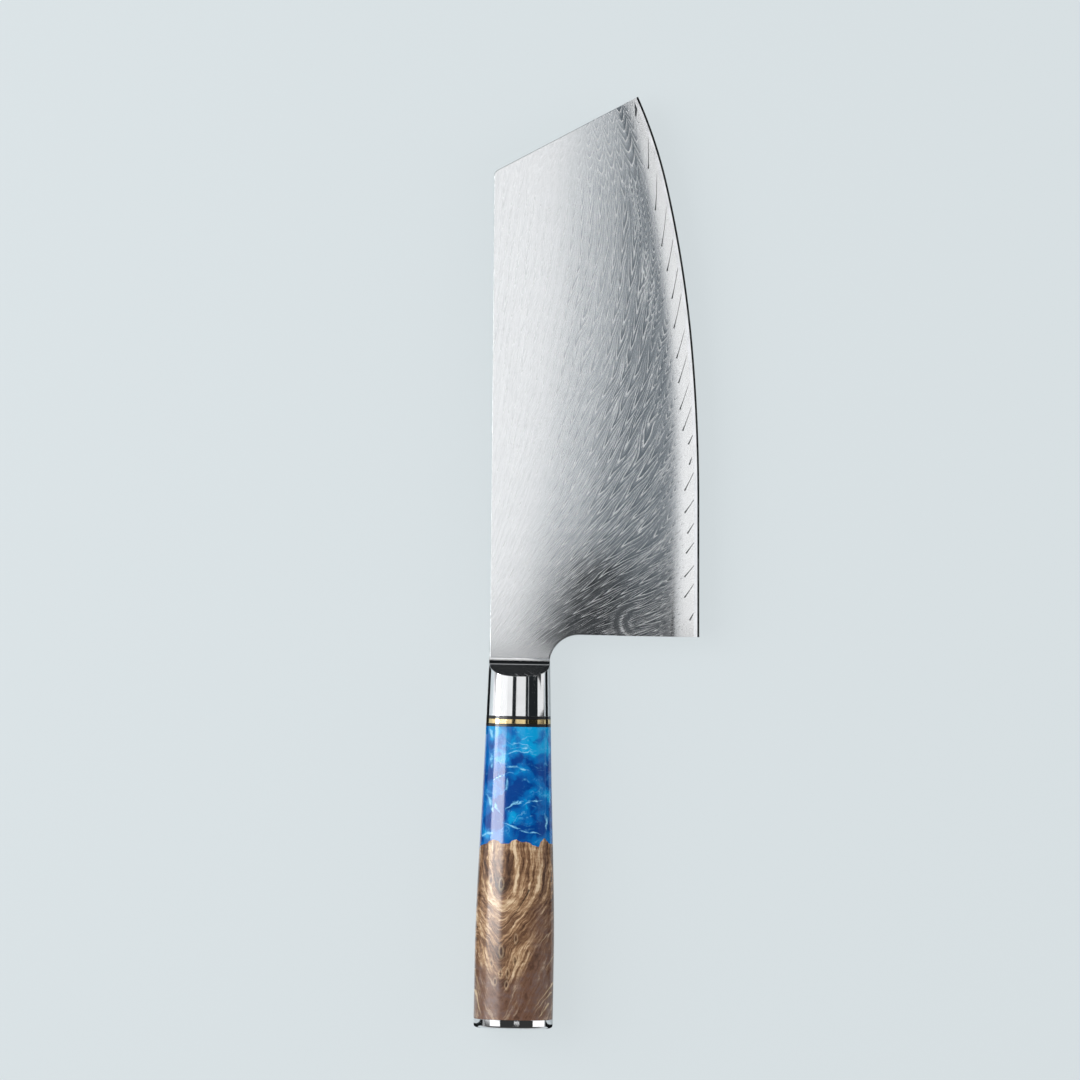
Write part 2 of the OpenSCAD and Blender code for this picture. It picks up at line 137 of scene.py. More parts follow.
class Workpiece:
    """A mesh object while it is being shaped with the modelling operators."""

    def __init__(self, obj: bpy.types.Object) -> None:
        """Take over an object that was just added."""
        self.obj = obj
        bpy.ops.object.transform_apply(location=True, rotation=True, scale=True)

    @classmethod
    def outline(cls, points: Sequence[Vector]) -> "Workpiece":
        """Start from a round face whose corners are laid on a drawn outline.

        Args:
            points: corners of the outline in the frame.

        Returns:
            The new workpiece.
        """
        select_only()
        bpy.ops.mesh.primitive_circle_add(vertices=len(points), radius=1, fill_type="NGON")
        piece = cls(bpy.context.active_object)
        for vertex, point in zip(piece.obj.data.vertices, points):
            vertex.co = point
        piece.obj.data.update()
        return piece

    @classmethod
    def bar(cls, points: Sequence[Vector], way: Vector) -> "Workpiece":
        """Extrude a drawn outline into a closed bar.

        Args:
            points: corners of the outline in the frame.
            way: how far it goes and which way, in metres.

        Returns:
            The new workpiece.
        """
        piece = cls.outline(points)
        piece.edit_all()
        piece.extrude(way)
        piece.rest()
        return piece

    @classmethod
    def block(cls, low: Vector, high: Vector) -> "Workpiece":
        """Add a rectangular block between two corners, as a cutter or a bar.

        Args:
            low: lowest corner in the frame.
            high: highest corner in the frame.

        Returns:
            The new workpiece.
        """
        select_only()
        bpy.ops.mesh.primitive_cube_add(size=1, location=(low + high) / 2, scale=high - low)
        return cls(bpy.context.active_object)

    def edit(self) -> None:
        """Go into edit mode on this object alone."""
        select_only(self.obj)
        bpy.ops.object.mode_set(mode="EDIT")

    def rest(self) -> None:
        """Go back to object mode."""
        bpy.ops.object.mode_set(mode="OBJECT")

    def edit_all(self) -> None:
        """Go into edit mode with everything selected."""
        self.edit()
        bpy.ops.mesh.select_mode(type="VERT")
        bpy.ops.mesh.select_all(action="SELECT")

    def edit_some(self, kind: str, wanted: Callable[[object], bool]) -> None:
        """Go into edit mode with some edges or faces selected.

        Args:
            kind: EDGE or FACE.
            wanted: says of an edge or a face whether it is taken.
        """
        self.edit()
        bpy.ops.mesh.select_mode(type=kind)
        bpy.ops.mesh.select_all(action="DESELECT")
        self.rest()
        mesh = self.obj.data
        for part in mesh.edges if kind == "EDGE" else mesh.polygons:
            part.select = wanted(part)
        self.edit()

    def ends(self, edge: bpy.types.MeshEdge) -> tuple[Vector, Vector]:
        """The two ends of one of the piece's edges."""
        first, second = edge.vertices
        return self.obj.data.vertices[first].co, self.obj.data.vertices[second].co

    def extrude(self, way: Vector) -> None:
        """Extrude what is selected along a way."""
        bpy.ops.mesh.extrude_region_move(TRANSFORM_OT_translate={"value": way})

    def stretch(self, x: float, z: float, centre: Vector) -> None:
        """Stretch what is selected across the handle, about a centre."""
        bpy.ops.transform.resize(value=(x, 1, z), center_override=centre)

    def spin(self, turn: float, centre: Vector, steps: int) -> None:
        """Sweep what is selected round an upright axis, anticlockwise by degrees from above."""
        bpy.ops.mesh.spin(steps=steps, angle=-math.radians(turn), center=centre, axis=(0, 0, 1))

    def cut(self, point: Vector, way: Vector, keep_behind: bool = True) -> None:
        """Cut the whole piece with a plane and close the cut.

        Args:
            point: a point of the plane.
            way: the plane's normal.
            keep_behind: whether the side behind the normal stays.
        """
        self.edit_all()
        bpy.ops.mesh.bisect(plane_co=point, plane_no=way, use_fill=True,
                            clear_outer=keep_behind, clear_inner=not keep_behind)
        self.rest()

    def bevel(self, width: float, segments: int) -> None:
        """Round the selected edges by a width in millimetres."""
        bpy.ops.mesh.bevel(
            offset=width * MM, segments=segments, affect="EDGES", clamp_overlap=False
        )

    def apply(self, kind: str, **settings: object) -> None:
        """Add a modifier with settings and apply it.

        Args:
            kind: the modifier's type.
            settings: its properties by name.
        """
        modifier = self.obj.modifiers.new(kind.lower(), kind)
        for name, value in settings.items():
            setattr(modifier, name, value)
        select_only(self.obj)
        bpy.ops.object.modifier_apply(modifier=modifier.name)

    def combine(self, other: "Workpiece", operation: str) -> None:
        """Join, cut or intersect with another workpiece, which is used up.

        Args:
            other: the second body.
            operation: UNION, DIFFERENCE or INTERSECT.
        """
        other.tidy()
        self.tidy()
        self.apply("BOOLEAN", object=other.obj, operation=operation, solver="EXACT")
        bpy.data.objects.remove(other.obj)

    def tidy(self) -> None:
        """Merge doubled vertices and turn all faces outwards."""
        self.edit_all()
        bpy.ops.mesh.remove_doubles(threshold=0.0005 * MM)
        bpy.ops.mesh.normals_make_consistent(inside=False)
        self.rest()

    def copy(self) -> "Workpiece":
        """A second workpiece with a mesh of its own."""
        twin = self.obj.copy()
        twin.data = self.obj.data.copy()
        bpy.context.scene.collection.objects.link(twin)
        select_only(twin)
        return Workpiece(twin)

    def smooth(self, angle: float, crease: tuple[float, float] | None = None) -> None:
        """Shade smoothly, with creases kept sharp and large faces kept flat.

        Args:
            angle: edges over this angle in degrees stay sharp.
            crease: edges between these two angles stay sharp too.
        """
        self.tidy()
        bpy.ops.object.shade_smooth_by_angle(angle=math.radians(angle))
        if crease:
            self._mark_sharp(math.radians(crease[0]), math.radians(crease[1]))
        self.apply("WEIGHTED_NORMAL", keep_sharp=True, weight=80)

    def _mark_sharp(self, low: float, high: float) -> None:
        """Mark the edges sharp whose two faces meet between two angles.

        Args:
            low: the smaller angle in radians.
            high: the larger angle in radians.
        """
        mesh = self.obj.data
        normals: dict[tuple[int, int], list[Vector]] = {}
        for face in mesh.polygons:
            for key in face.edge_keys:
                normals.setdefault(key, []).append(face.normal.copy())
        for edge in mesh.edges:
            pair = normals[edge.key]
            if len(pair) == 2 and low < pair[0].angle(pair[1], 0.0) < high:
                edge.use_edge_sharp = True

    def finish(self, name: str, look: Material) -> bpy.types.Object:
        """Name the piece and dress it.

        Args:
            name: name of the piece.
            look: its material.

        Returns:
            The finished object.
        """
        self.obj.name = name
        self.obj.data.name = name
        self.obj.data.materials.clear()
        self.obj.data.materials.append(look)
        return self.obj

    def settle(self, name: str, look: Material, node: str, slot: Slot) -> None:
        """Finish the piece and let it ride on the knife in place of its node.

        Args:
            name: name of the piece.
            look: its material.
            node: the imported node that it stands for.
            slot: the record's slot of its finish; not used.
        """
        piece = self.finish(name, look)
        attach(piece, "root")
        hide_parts(node)
        log.info("%s: %d faces, stands for %s", piece.name, len(piece.data.polygons), node)


class Graph:
    """A node tree that is being wired."""

    def __init__(self, tree: Tree) -> None:
        """Wire nodes in a tree."""
        self.tree = tree

    @staticmethod
    def of(owner: Material | bpy.types.World) -> "Graph":
        """Wire a material or a world from nothing."""
        owner.use_nodes = True
        owner.node_tree.nodes.clear()
        return Graph(owner.node_tree)

    def add(self, kind: str, *values: object, **settings: object) -> Node:
        """Add a node.

        Args:
            kind: the node's type, without its ShaderNode prefix.
            values: a value or a link for each of its first inputs.
            settings: its properties by name.

        Returns:
            The node.
        """
        node = self.tree.nodes.new("ShaderNode" + kind)
        for name, value in settings.items():
            setattr(node, name, value)
        for socket, value in zip(node.inputs, values):
            self.feed(socket, value)
        return node

    def feed(self, socket: Socket, value: object) -> None:
        """Link a socket, or set its value."""
        if isinstance(value, bpy.types.NodeSocket):
            self.tree.links.new(value, socket)
        elif value is not None:
            socket.default_value = value

    def named(self, node: Node, **inputs: object) -> Node:
        """Feed a node's inputs by name, and give the node back."""
        for name, value in inputs.items():
            self.feed(node.inputs[name.replace("_", " ").capitalize()], value)
        return node

    def math(self, operation: str, *values: object, clamp: bool = False) -> Socket:
        """Work out a number from up to three others."""
        return self.add("Math", *values, operation=operation, use_clamp=clamp).outputs[0]

    def vector(self, operation: str, *values: object) -> Socket:
        """Work out a vector, or its length, from others."""
        node = self.add("VectorMath", *values, operation=operation)
        return node.outputs["Value" if operation == "LENGTH" else "Vector"]

    # The usual sums by plain names
    times = partialmethod(math, "MULTIPLY")
    plus = partialmethod(math, "ADD")
    minus = partialmethod(math, "SUBTRACT")
    over = partialmethod(math, "DIVIDE")
    greater = partialmethod(math, "MAXIMUM")
    times_plus = partialmethod(math, "MULTIPLY_ADD")
    scaled = partialmethod(vector, "MULTIPLY")
    shifted = partialmethod(vector, "ADD")

    def swing(self, noise: Socket, width: float, about: object) -> Socket:
        """Swing a number by a noise whose middle is 0.5."""
        return self.times_plus(self.minus(noise, 0.5), width, about)

    def threads(self, noise: Socket, reach: float) -> Socket:
        """Thin lines along which a noise passes its middle."""
        return self.spread(self.math("ABSOLUTE", self.minus(noise, 0.5)), 0.0, reach, 1.0, 0.0)

    def split(self, vector: Socket) -> tuple[Socket, Socket, Socket]:
        """The three parts of a vector."""
        node = self.add("SeparateXYZ", vector)
        return node.outputs[0], node.outputs[1], node.outputs[2]

    def join(self, x: object, y: object, z: object = 0.0) -> Socket:
        """A vector from three numbers."""
        return self.add("CombineXYZ", x, y, z).outputs[0]

    def spread(self, value: object, low: object, high: object, to_low: float = 0.0,
               to_high: float = 1.0) -> Socket:
        """Spread a range of a number over another range, with eased ends."""
        return self.add("MapRange", value, low, high, to_low, to_high,
                        interpolation_type="SMOOTHSTEP").outputs[0]

    def noise(self, vector: object, scale: float, detail: float = 2.0, roughness: float = 0.5,
              distortion: float = 0.0, colour: bool = False) -> Socket:
        """Smooth random values in space."""
        node = self.named(self.add("TexNoise"), vector=vector, scale=scale, detail=detail,
                          roughness=roughness, distortion=distortion)
        return node.outputs["Color" if colour else "Fac"]

    def wobble(self, place: Socket, scale: float, detail: float, roughness: float,
               by: tuple[float, float, float]) -> Socket:
        """A smooth random shift in space, up to half of a size each way."""
        swirl = self.noise(place, scale, detail, roughness, colour=True)
        return self.scaled(self.vector("SUBTRACT", swirl, (0.5,) * 3), by)

    def ramp(self, value: object, stops: Sequence[tuple[float, Colour | float]],
             kind: str = "LINEAR") -> Socket:
        """Read a colour or tone off a ramp.

        Args:
            value: place on the ramp.
            stops: places with their colour, or with one tone.
            kind: how it goes from one stop to the next.

        Returns:
            The colour.
        """
        node = self.add("ValToRGB", value)
        node.color_ramp.interpolation = kind
        elements = node.color_ramp.elements
        while len(elements) < len(stops):
            elements.new(0.5)
        for element, (place, colour) in zip(elements, stops):
            rgb = (colour,) * 3 if isinstance(colour, (int, float)) else colour
            element.position = place
            element.color = (*rgb, 1)
        return node.outputs[0]

    def mix(self, share: object, a: object, b: object) -> Socket:
        """Blend two colours."""
        node = self.add("Mix", share, data_type="RGBA")
        for socket, value in ((node.inputs[6], a), (node.inputs[7], b)):
            self.feed(socket, (*value, 1) if isinstance(value, tuple) else value)
        return node.outputs[2]

    def mix_value(self, share: object, a: object, b: object) -> Socket:
        """Blend two numbers."""
        return self.add("Mix", share, None, a, b, data_type="FLOAT").outputs[0]

    def curve(self, value: object, points: Sequence[Point]) -> Socket:
        """Read a number from 0 to 1 off a drawn curve.

        Args:
            value: place on the curve, from 0 to 1.
            points: the points that the curve runs through.

        Returns:
            The number.
        """
        node = self.add("FloatCurve")
        curve = node.mapping.curves[0]
        while len(curve.points) < len(points):
            curve.points.new(0.5, 0.5)
        for point, place in zip(curve.points, points):
            point.location = place
            point.handle_type = "AUTO"
        node.mapping.update()
        self.feed(node.inputs["Value"], value)
        return node.outputs[0]

    def group(self, tree: Tree, **inputs: object) -> Node:
        """Place a node group with its inputs set or linked."""
        return self.named(self.add("Group", node_tree=tree), **inputs)

    def strokes(self, tree: Tree, place: Socket, rows: Iterable[Sequence[float]],
                names: Sequence[str], **same: float) -> Socket:
        """Draw many strokes with one group.

        Args:
            tree: the stroke's group.
            place: the place in millimetres.
            rows: each stroke's x, y, angle in degrees, and then what the names say.
            names: inputs that the rest of each row sets.
            same: inputs that all the strokes share.

        Returns:
            Mask of all the strokes.
        """
        mask: object = 0.0
        for x, y, angle, *rest in rows:
            stroke = self.group(tree, place=place, start_x=x, start_y=y,
                                angle=math.radians(angle), **dict(zip(names, rest)), **same)
            mask = self.greater(mask, stroke.outputs[0])
        return mask

    def bump(self, height: Socket, depth: float, strength: float = 1.0) -> Socket:
        """A normal from a height, with its full depth in millimetres."""
        node = self.add("Bump")
        return self.named(node, height=height, distance=depth * MM, strength=strength).outputs[0]

    def plain(self, kind: str, colour: Colour, **more: float) -> Node:
        """A shader of one colour, with its other inputs by name."""
        return self.named(self.add(kind), color=(*colour, 1), **more)

    def blend(self, share: Socket, first: Node, second: Node) -> Node:
        """Blend two shaders."""
        return self.add("MixShader", share, first.outputs[0], second.outputs[0])

    def show(self, shader: Node, output: str = "OutputMaterial") -> None:
        """Let a shader show on the material or the world."""
        self.feed(self.add(output).inputs["Surface"], shader.outputs[0])


class GroupGraph(Graph):
    """A shader node group with named inputs and outputs."""

    def __init__(self, name: str, inputs: dict[str, object], outputs: Sequence[str]) -> None:
        """Make the group's sockets.

        Args:
            name: the group's name.
            inputs: each input's name, with its default value, or None for a vector.
            outputs: names of the outputs, all numbers.
        """
        super().__init__(bpy.data.node_groups.new(name, "ShaderNodeTree"))
        for label, value in inputs.items():
            kind = "NodeSocketVector" if value is None else "NodeSocketFloat"
            socket = self.tree.interface.new_socket(label, in_out="INPUT", socket_type=kind)
            if value is not None:
                socket.default_value = value
        for label in outputs:
            self.tree.interface.new_socket(label, in_out="OUTPUT", socket_type="NodeSocketFloat")
        self.start = self.tree.nodes.new("NodeGroupInput")
        self.end = self.tree.nodes.new("NodeGroupOutput")

    def given(self, name: str) -> Socket:
        """One of the group's inputs."""
        return self.start.outputs[name]

    def give(self, name: str, value: Socket) -> None:
        """Send a value out of the group."""
        self.tree.links.new(value, self.end.inputs[name])


class MaterialGraph(Graph):
    """A material with one Principled shader, read by the place in millimetres."""

    def __init__(self, name: str, axes: HandleAxes) -> None:
        """Open a new material.

        Args:
            name: the material's name.
            axes: the handle's axes, in which the place is read.
        """
        self.material = bpy.data.materials.new(name)
        super().__init__(Graph.of(self.material).tree)
        self.shader = self.add("BsdfPrincipled")
        self.show(self.shader)
        mapping = self.add("Mapping", self.add("TexCoord").outputs["Object"])
        mapping.inputs["Scale"].default_value = (1 / MM,) * 3
        mapping.inputs["Location"].default_value = axes.origin / -MM
        self.place = mapping.outputs[0]

    def dress(self, colour: Socket, rough: Socket, normal: Socket, **plain: float) -> Material:
        """Feed the shader.

        Args:
            colour: the base colour.
            rough: the roughness.
            normal: the normal.
            plain: inputs of the shader that are the same all over.

        Returns:
            The finished material.
        """
        for name, value in (("Base Color", colour), ("Roughness", rough), ("Normal", normal)):
            self.feed(self.shader.inputs[name], value)
        for name, value in plain.items():
            self.shader.inputs[name].default_value = value
        return self.material


# Terms of the blade's flow coordinates, as (power across, power along): weight, in millimetres
ACROSS_TERMS = {
    (0, 1): -18.25, (0, 2): 13.3, (0, 3): -6.3, (0, 4): 10, (1, 0): 25.35, (1, 1): 5.2,
    (1, 2): 3.2, (1, 3): 10.5, (2, 0): -6.6, (2, 1): 8.2, (3, 0): 4.1, (3, 1): -9.7, (4, 0): -1.25,
}
ALONG_TERMS = {
    (0, 1): 96.4, (0, 2): 12.4, (0, 3): -14, (1, 0): 14.5, (1, 1): -18.8, (1, 2): -1.6,
    (2, 0): 0.2, (2, 1): -5.8, (3, 0): -4.9,
}
# Middle of the blade's flow and its reach each way, in millimetres
FLOW_MIDDLE = (23.0, 95.0)
FLOW_REACH = (40.0, 95.0)


class Effects:
    """The shader groups that several materials share, each built once."""

    def __init__(self) -> None:
        """Build the groups."""
        self.flow = self._flow()
        self.stroke = self._stroke()
        self.wisp = self._wisp()
        self.polish = self._polish()

    @staticmethod
    def _polynomial(g: Graph, u: Socket, v: Socket, terms: dict[tuple[int, int], float]) -> Socket:
        """Work out a polynomial of two numbers, one power at a time.

        Args:
            g: the graph it is wired in.
            u: the first number.
            v: the second number.
            terms: weight of each pair of powers.

        Returns:
            Its value.
        """
        total: object = 0.0
        for i in range(max(k[0] for k in terms), -1, -1):
            inner: object = 0.0
            for j in range(max((k[1] for k in terms if k[0] == i), default=0), -1, -1):
                inner = g.times_plus(inner, v, terms.get((i, j), 0.0))
            total = g.times_plus(total, u, inner)
        return total

    def _flow(self) -> Tree:
        """Coordinates across and along the layers' streaks on the blade, in millimetres."""
        g = GroupGraph("layer_flow", {"Place": None}, ["Across", "Along"])
        u, v = (g.over(g.minus(part, middle), reach) for part, middle, reach
                in zip(g.split(g.given("Place")), FLOW_MIDDLE, FLOW_REACH))
        g.give("Across", self._polynomial(g, u, v, ACROSS_TERMS))
        g.give("Along", self._polynomial(g, u, v, ALONG_TERMS))
        return g.tree

    @staticmethod
    def _from_foot(g: GroupGraph) -> tuple[Socket, Socket]:
        """How far a place lies along and beside a stroke that has a foot and an angle."""
        x, y, _ = g.split(g.given("Place"))
        dx, dy = g.minus(x, g.given("Start x")), g.minus(y, g.given("Start y"))
        cos, sin = g.math("COSINE", g.given("Angle")), g.math("SINE", g.given("Angle"))
        along = g.plus(g.times(dx, cos), g.times(dy, sin))
        return along, g.minus(g.times(dy, cos), g.times(dx, sin))

    def _stroke(self) -> Tree:
        """One drawn stroke that starts thick and thins to nothing."""
        g = GroupGraph("stroke", {
            "Place": None, "Start x": 0.0, "Start y": 0.0, "Angle": 0.0, "Length": 5.0,
            "Thick": 0.3, "Thin": 0.1, "Head": 1.5, "Bend": 0.0, "Soft": 0.1
        }, ["Mask"])
        foot, tail_share = 0.25, 0.3
        along, side = self._from_foot(g)
        curl = g.times(g.given("Bend"), g.times(along, along))
        side = g.math("ABSOLUTE", g.minus(side, curl))
        fade = g.math("EXPONENT", g.times(g.over(along, g.given("Head")), -1.0))
        width = g.times_plus(g.math("MINIMUM", fade, 1.0), g.given("Thick"), g.given("Thin"))
        body = g.over(g.minus(width, side), g.given("Soft"), clamp=True)
        head = g.over(g.plus(along, foot), foot, clamp=True)
        left = g.minus(g.given("Length"), along)
        tail = g.over(left, g.times(g.given("Length"), tail_share), clamp=True)
        g.give("Mask", g.times(body, g.times(head, tail)))
        return g.tree

    def _wisp(self) -> Tree:
        """One soft bent wisp that thins towards both ends."""
        g = GroupGraph("wisp", {
            "Place": None, "Start x": 0.0, "Start y": 0.0, "Angle": 0.0, "Length": 8.0,
            "Width": 0.5, "Bend": 0.0
        }, ["Mask"])
        narrowest = 0.2
        along, side = self._from_foot(g)
        share = g.over(along, g.given("Length"), clamp=True)
        arch = g.times(g.times(share, g.minus(1.0, share)), 4.0)
        side = g.minus(side, g.times(g.given("Bend"), arch))
        width = g.times(g.given("Width"), g.times_plus(arch, 1.0 - narrowest, narrowest))
        off = g.over(side, width)
        body = g.math("EXPONENT", g.times(g.times(off, off), -1.0))
        g.give("Mask", g.times(body, g.math("SQRT", arch)))
        return g.tree

    @staticmethod
    def _polish() -> Tree:
        """What polishing leaves: fine turning lines, faint smears and a few hairlines."""
        g = GroupGraph("polish_marks", {"Place": None, "Smears": 0.03, "Base": 0.05},
                       ["Roughness", "Height", "Tint"])
        place = g.given("Place")
        turned = g.noise(g.scaled(place, (0.05, 9.0, 0.05)), 1.0, 3.0, 0.6)
        smear = g.noise(place, 0.16, 4.0, 0.6, 0.8)
        hair = g.noise(g.scaled(place, (0.3, 1.5, 0.3)), 1.0, 5.0, 0.7, 1.5)
        hairline = g.threads(hair, 0.012)
        smeared = g.times_plus(g.spread(smear, 0.4, 0.75), g.given("Smears"), g.given("Base"))
        g.give("Roughness", g.times_plus(hairline, 0.02, smeared))
        g.give("Height", g.times_plus(hairline, -0.6, turned))
        g.give("Tint", g.spread(smear, 0.3, 0.8))
        return g.tree


@dataclass(frozen=True)
class Finish:
    """What every finish needs: the shared effects and the handle's axes."""

    effects: Effects
    axes: HandleAxes

    def polish(self, g: MaterialGraph, smears: float, base: float) -> tuple[Socket, ...]:
        """Lay polishing marks on a material."""
        return tuple(g.group(self.effects.polish, place=g.place, smears=smears, base=base).outputs)


@dataclass(frozen=True)
class Grain:
    """Noise that is drawn out along the blade's streaks, with its fineness each way."""

    across: float
    along: float
    layer: float = 0.0
    detail: float = 2.0
    roughness: float = 0.5


@dataclass(frozen=True)
class Chain:
    """Chains of nested chevrons, each chain as wide as the first value in millimetres.

    An arm passes as many layers as reach says and keeps the share lift of its strength at its
    end. Crisp says how soon it fades behind its point, and bow how round the point is, from 1
    for a sharp one.
    """

    width: float
    reach: float
    lift: float
    crisp: float
    bow: float


@dataclass(frozen=True)
class BladeSteel(Finish):
    """Layered steel with an etched feather pattern that fades on the ground bevel.

    Bevel lines are given by x, y, angle and length of each, crescents by x and y of their
    middle, and painted shade pools, dark patches that stand in for dark reflections in the
    steel, by x, y, reach and the tone that they add.
    """

    edge_points: tuple[Point, ...] = ()
    edge_span: Point = (200.0, 70.0)
    bright: Colour = (0.85, 0.855, 0.86)
    middle: Colour = (0.745, 0.755, 0.765)
    dark: Colour = (0.56, 0.575, 0.59)
    ground: Colour = (0.87, 0.875, 0.88)
    line_black: Colour = (0.04, 0.045, 0.05)
    dark_rough: float = 0.13
    smooth_rough: float = 0.2
    etched_rough: float = 0.48
    ground_rough: float = 0.24
    relief: float = 0.003
    middle_tone: float = 0.43
    feather: Chain = Chain(2.2, 2.3, 0.1, 2.4, 1.3)
    nested: Chain = Chain(3.0, 1.4, 0.45, 1.5, 1.6)
    small: Chain = Chain(1.3, 1.5, 0.0, 2.4, 1.3)
    layer_range: Point = (-75.0, 175.0)
    layer_count: float = 35.0
    small_layer_count: float = 84.0
    layer_curve: tuple[Point, ...] = (
        (0.0, 0.0), (0.686, 0.529), (0.8, 0.629), (0.874, 0.714), (0.926, 0.8), (0.97, 0.9),
        (1.0, 1.0)
    )
    layer_band: tuple[Point, ...] = (
        (0.0, 0.5), (0.03, 1.0), (0.17, 0.9), (0.21, 0.2), (0.25, 0.0), (0.42, 0.14), (0.8, 0.5),
        (1.0, 0.5)
    )
    sway: Grain = Grain(0.12, 0.035)
    warp: Grain = Grain(0.4, 0.08)
    patch: Grain = Grain(0.3, 0.05)
    streak: Grain = Grain(1.6, 0.04, 0.0, 3.0, 0.6)
    fine: Grain = Grain(3.4, 0.07, 4.0)
    hair: Grain = Grain(1.1, 0.03, 8.0, 3.0, 0.65)
    cluster: Grain = Grain(0.6, 0.08, 9.0, 3.0, 0.6)
    crescents: Point = (41.0, 14.0)
    # Painted shade: each pool darkens the etch where the steel mirrors dark surroundings, the deepest by
    # the choil
    painted_shade_pools: tuple[tuple[float, float, float, float], ...] = (
        (26.0, 25.0, 15.0, -0.14), (37.0, 187.0, 16.0, -0.12), (17.5, 8.0, 13.0, -0.34)
    )
    bevel_lines: tuple[tuple[float, float, float, float], ...] = (
        (40.0, 165.8, 89, 12.1), (42.6, 152.0, 86, 13.1), (44.9, 140.0, 81, 14.0),
        (46.9, 131.8, 78, 13.8), (48.7, 122.6, 78, 14.4), (49.5, 112.7, 76, 14.5),
        (50.6, 102.7, 73, 11.0), (51.4, 94.5, 72, 10.8), (52.0, 85.6, 70, 9.8),
        (53.1, 78.6, 69, 9.7), (55.1, 74.1, 65, 4.8), (55.5, 67.3, 72, 2.7),
        (54.1, 58.6, 63, 8.8), (54.3, 51.2, 55, 6.7), (55.3, 44.3, 58, 5.7),
        (55.0, 37.7, 54, 6.3), (54.6, 29.8, 50, 6.6), (54.7, 22.9, 55, 6.5), (56.6, 15.4, 62, 2.8)
    )
    tip_wedge: tuple[float, float, float, float] = (35.6, 189.0, 269, 10.5)

    def _depth(self, g: MaterialGraph) -> Socket:
        """How far a place lies inside the cutting edge, in millimetres."""
        x, y, _ = g.split(g.place)
        edge = g.curve(g.over(y, self.edge_span[0]), self.edge_points)
        return g.minus(g.times(edge, self.edge_span[1]), x)

    def _bevel(self, g: MaterialGraph, depth: Socket) -> tuple[Socket, Socket]:
        """Where the ground bevel is, and the etched lines on it.

        Args:
            g: the material's graph.
            depth: how far the place lies inside the cutting edge.

        Returns:
            Mask of the bevel and mask of its lines.
        """
        _, y, _ = g.split(g.place)
        depth = g.swing(g.noise(g.place, 1.1, 4.0, 0.7), 2.6, depth)
        inner = g.spread(y, 165.0, 190.0, 7.6, 3.0)
        mask = g.spread(depth, g.minus(inner, 2.8), inner, 1.0, 0.0)
        lines = g.strokes(self.effects.stroke, g.place, self.bevel_lines, ["length"],
                          thick=0.17, thin=0.13, head=2.0, bend=0.004, soft=0.12)
        wedge = g.strokes(self.effects.stroke, g.place, [self.tip_wedge], ["length"],
                          thick=0.9, thin=-0.02, head=7.0, soft=0.25)
        return mask, g.greater(lines, wedge)

    def _chevrons(self, g: MaterialGraph, across: Socket, count: Socket, chain: Chain) -> Socket:
        """Nested chevrons of the layers, in chains along the streaks.

        Args:
            g: the material's graph.
            across: place across the streaks.
            count: number of layers passed along the streaks.
            chain: the chains' sizes.

        Returns:
            Tone about zero, brightest at the chevrons' points and darkest just inside them.
        """
        point, chain_shift = 0.45, 7.0
        lane = g.over(across, chain.width)
        share = g.math("FRACT", lane)
        left = g.times_plus(share, -1 / point, 1.0)
        right = g.times_plus(share, 1 / (1 - point), -point / (1 - point))
        vee = g.math("POWER", g.greater(left, right), chain.bow)
        luck = g.add("TexWhiteNoise", noise_dimensions="1D")
        g.feed(luck.inputs["W"], g.math("FLOOR", lane))
        count = g.times_plus(luck.outputs[0], chain_shift, count)
        count = g.times_plus(vee, -chain.reach, count)
        band = g.ramp(g.math("FRACT", count), self.layer_band)
        head = g.math("EXPONENT", g.times(vee, -chain.crisp))
        strength = g.times_plus(head, 1.0 - chain.lift, chain.lift)
        return g.times(g.minus(band, 0.5), strength)

    @staticmethod
    def _drawn(g: MaterialGraph, flow: Sequence[Socket], grain: Grain) -> Socket:
        """Noise that is drawn out along the streaks."""
        place = g.join(g.times(flow[0], grain.across), g.times(flow[1], grain.along), grain.layer)
        return g.noise(place, 1.0, grain.detail, grain.roughness)

    def _pattern(self, g: MaterialGraph, flow: Sequence[Socket], depth: Socket) -> Socket:
        """Chevrons of the layers: feathered by the heel, nested by the tip, small by the bevel.

        Args:
            g: the material's graph.
            flow: place across and along the streaks.
            depth: how far the place lies inside the cutting edge.

        Returns:
            Tone about zero.
        """
        across, along = flow
        start, length = self.layer_range
        lane = g.swing(self._drawn(g, flow, self.sway), 4.0, across)
        warp = g.times(self._drawn(g, flow, self.warp), 0.8)
        passed = g.curve(g.over(g.minus(along, start), length), self.layer_curve)
        count = g.times_plus(passed, self.layer_count, warp)
        small_count = g.times_plus(passed, self.small_layer_count, warp)
        feather = g.times(self._chevrons(g, lane, count, self.feather), 1.55)
        nested = self._chevrons(g, lane, count, self.nested)
        small = g.times(self._chevrons(g, lane, small_count, self.small), 1.1)
        tone = g.mix_value(g.spread(along, 54.0, 84.0), feather, nested)
        by_bevel = g.spread(depth, 12.5, 15.5, 0.85, 0.0)
        by_heel = g.spread(along, 60.0, 76.0, 1.0, 0.0)
        return g.mix_value(g.times(by_bevel, by_heel), tone, small)

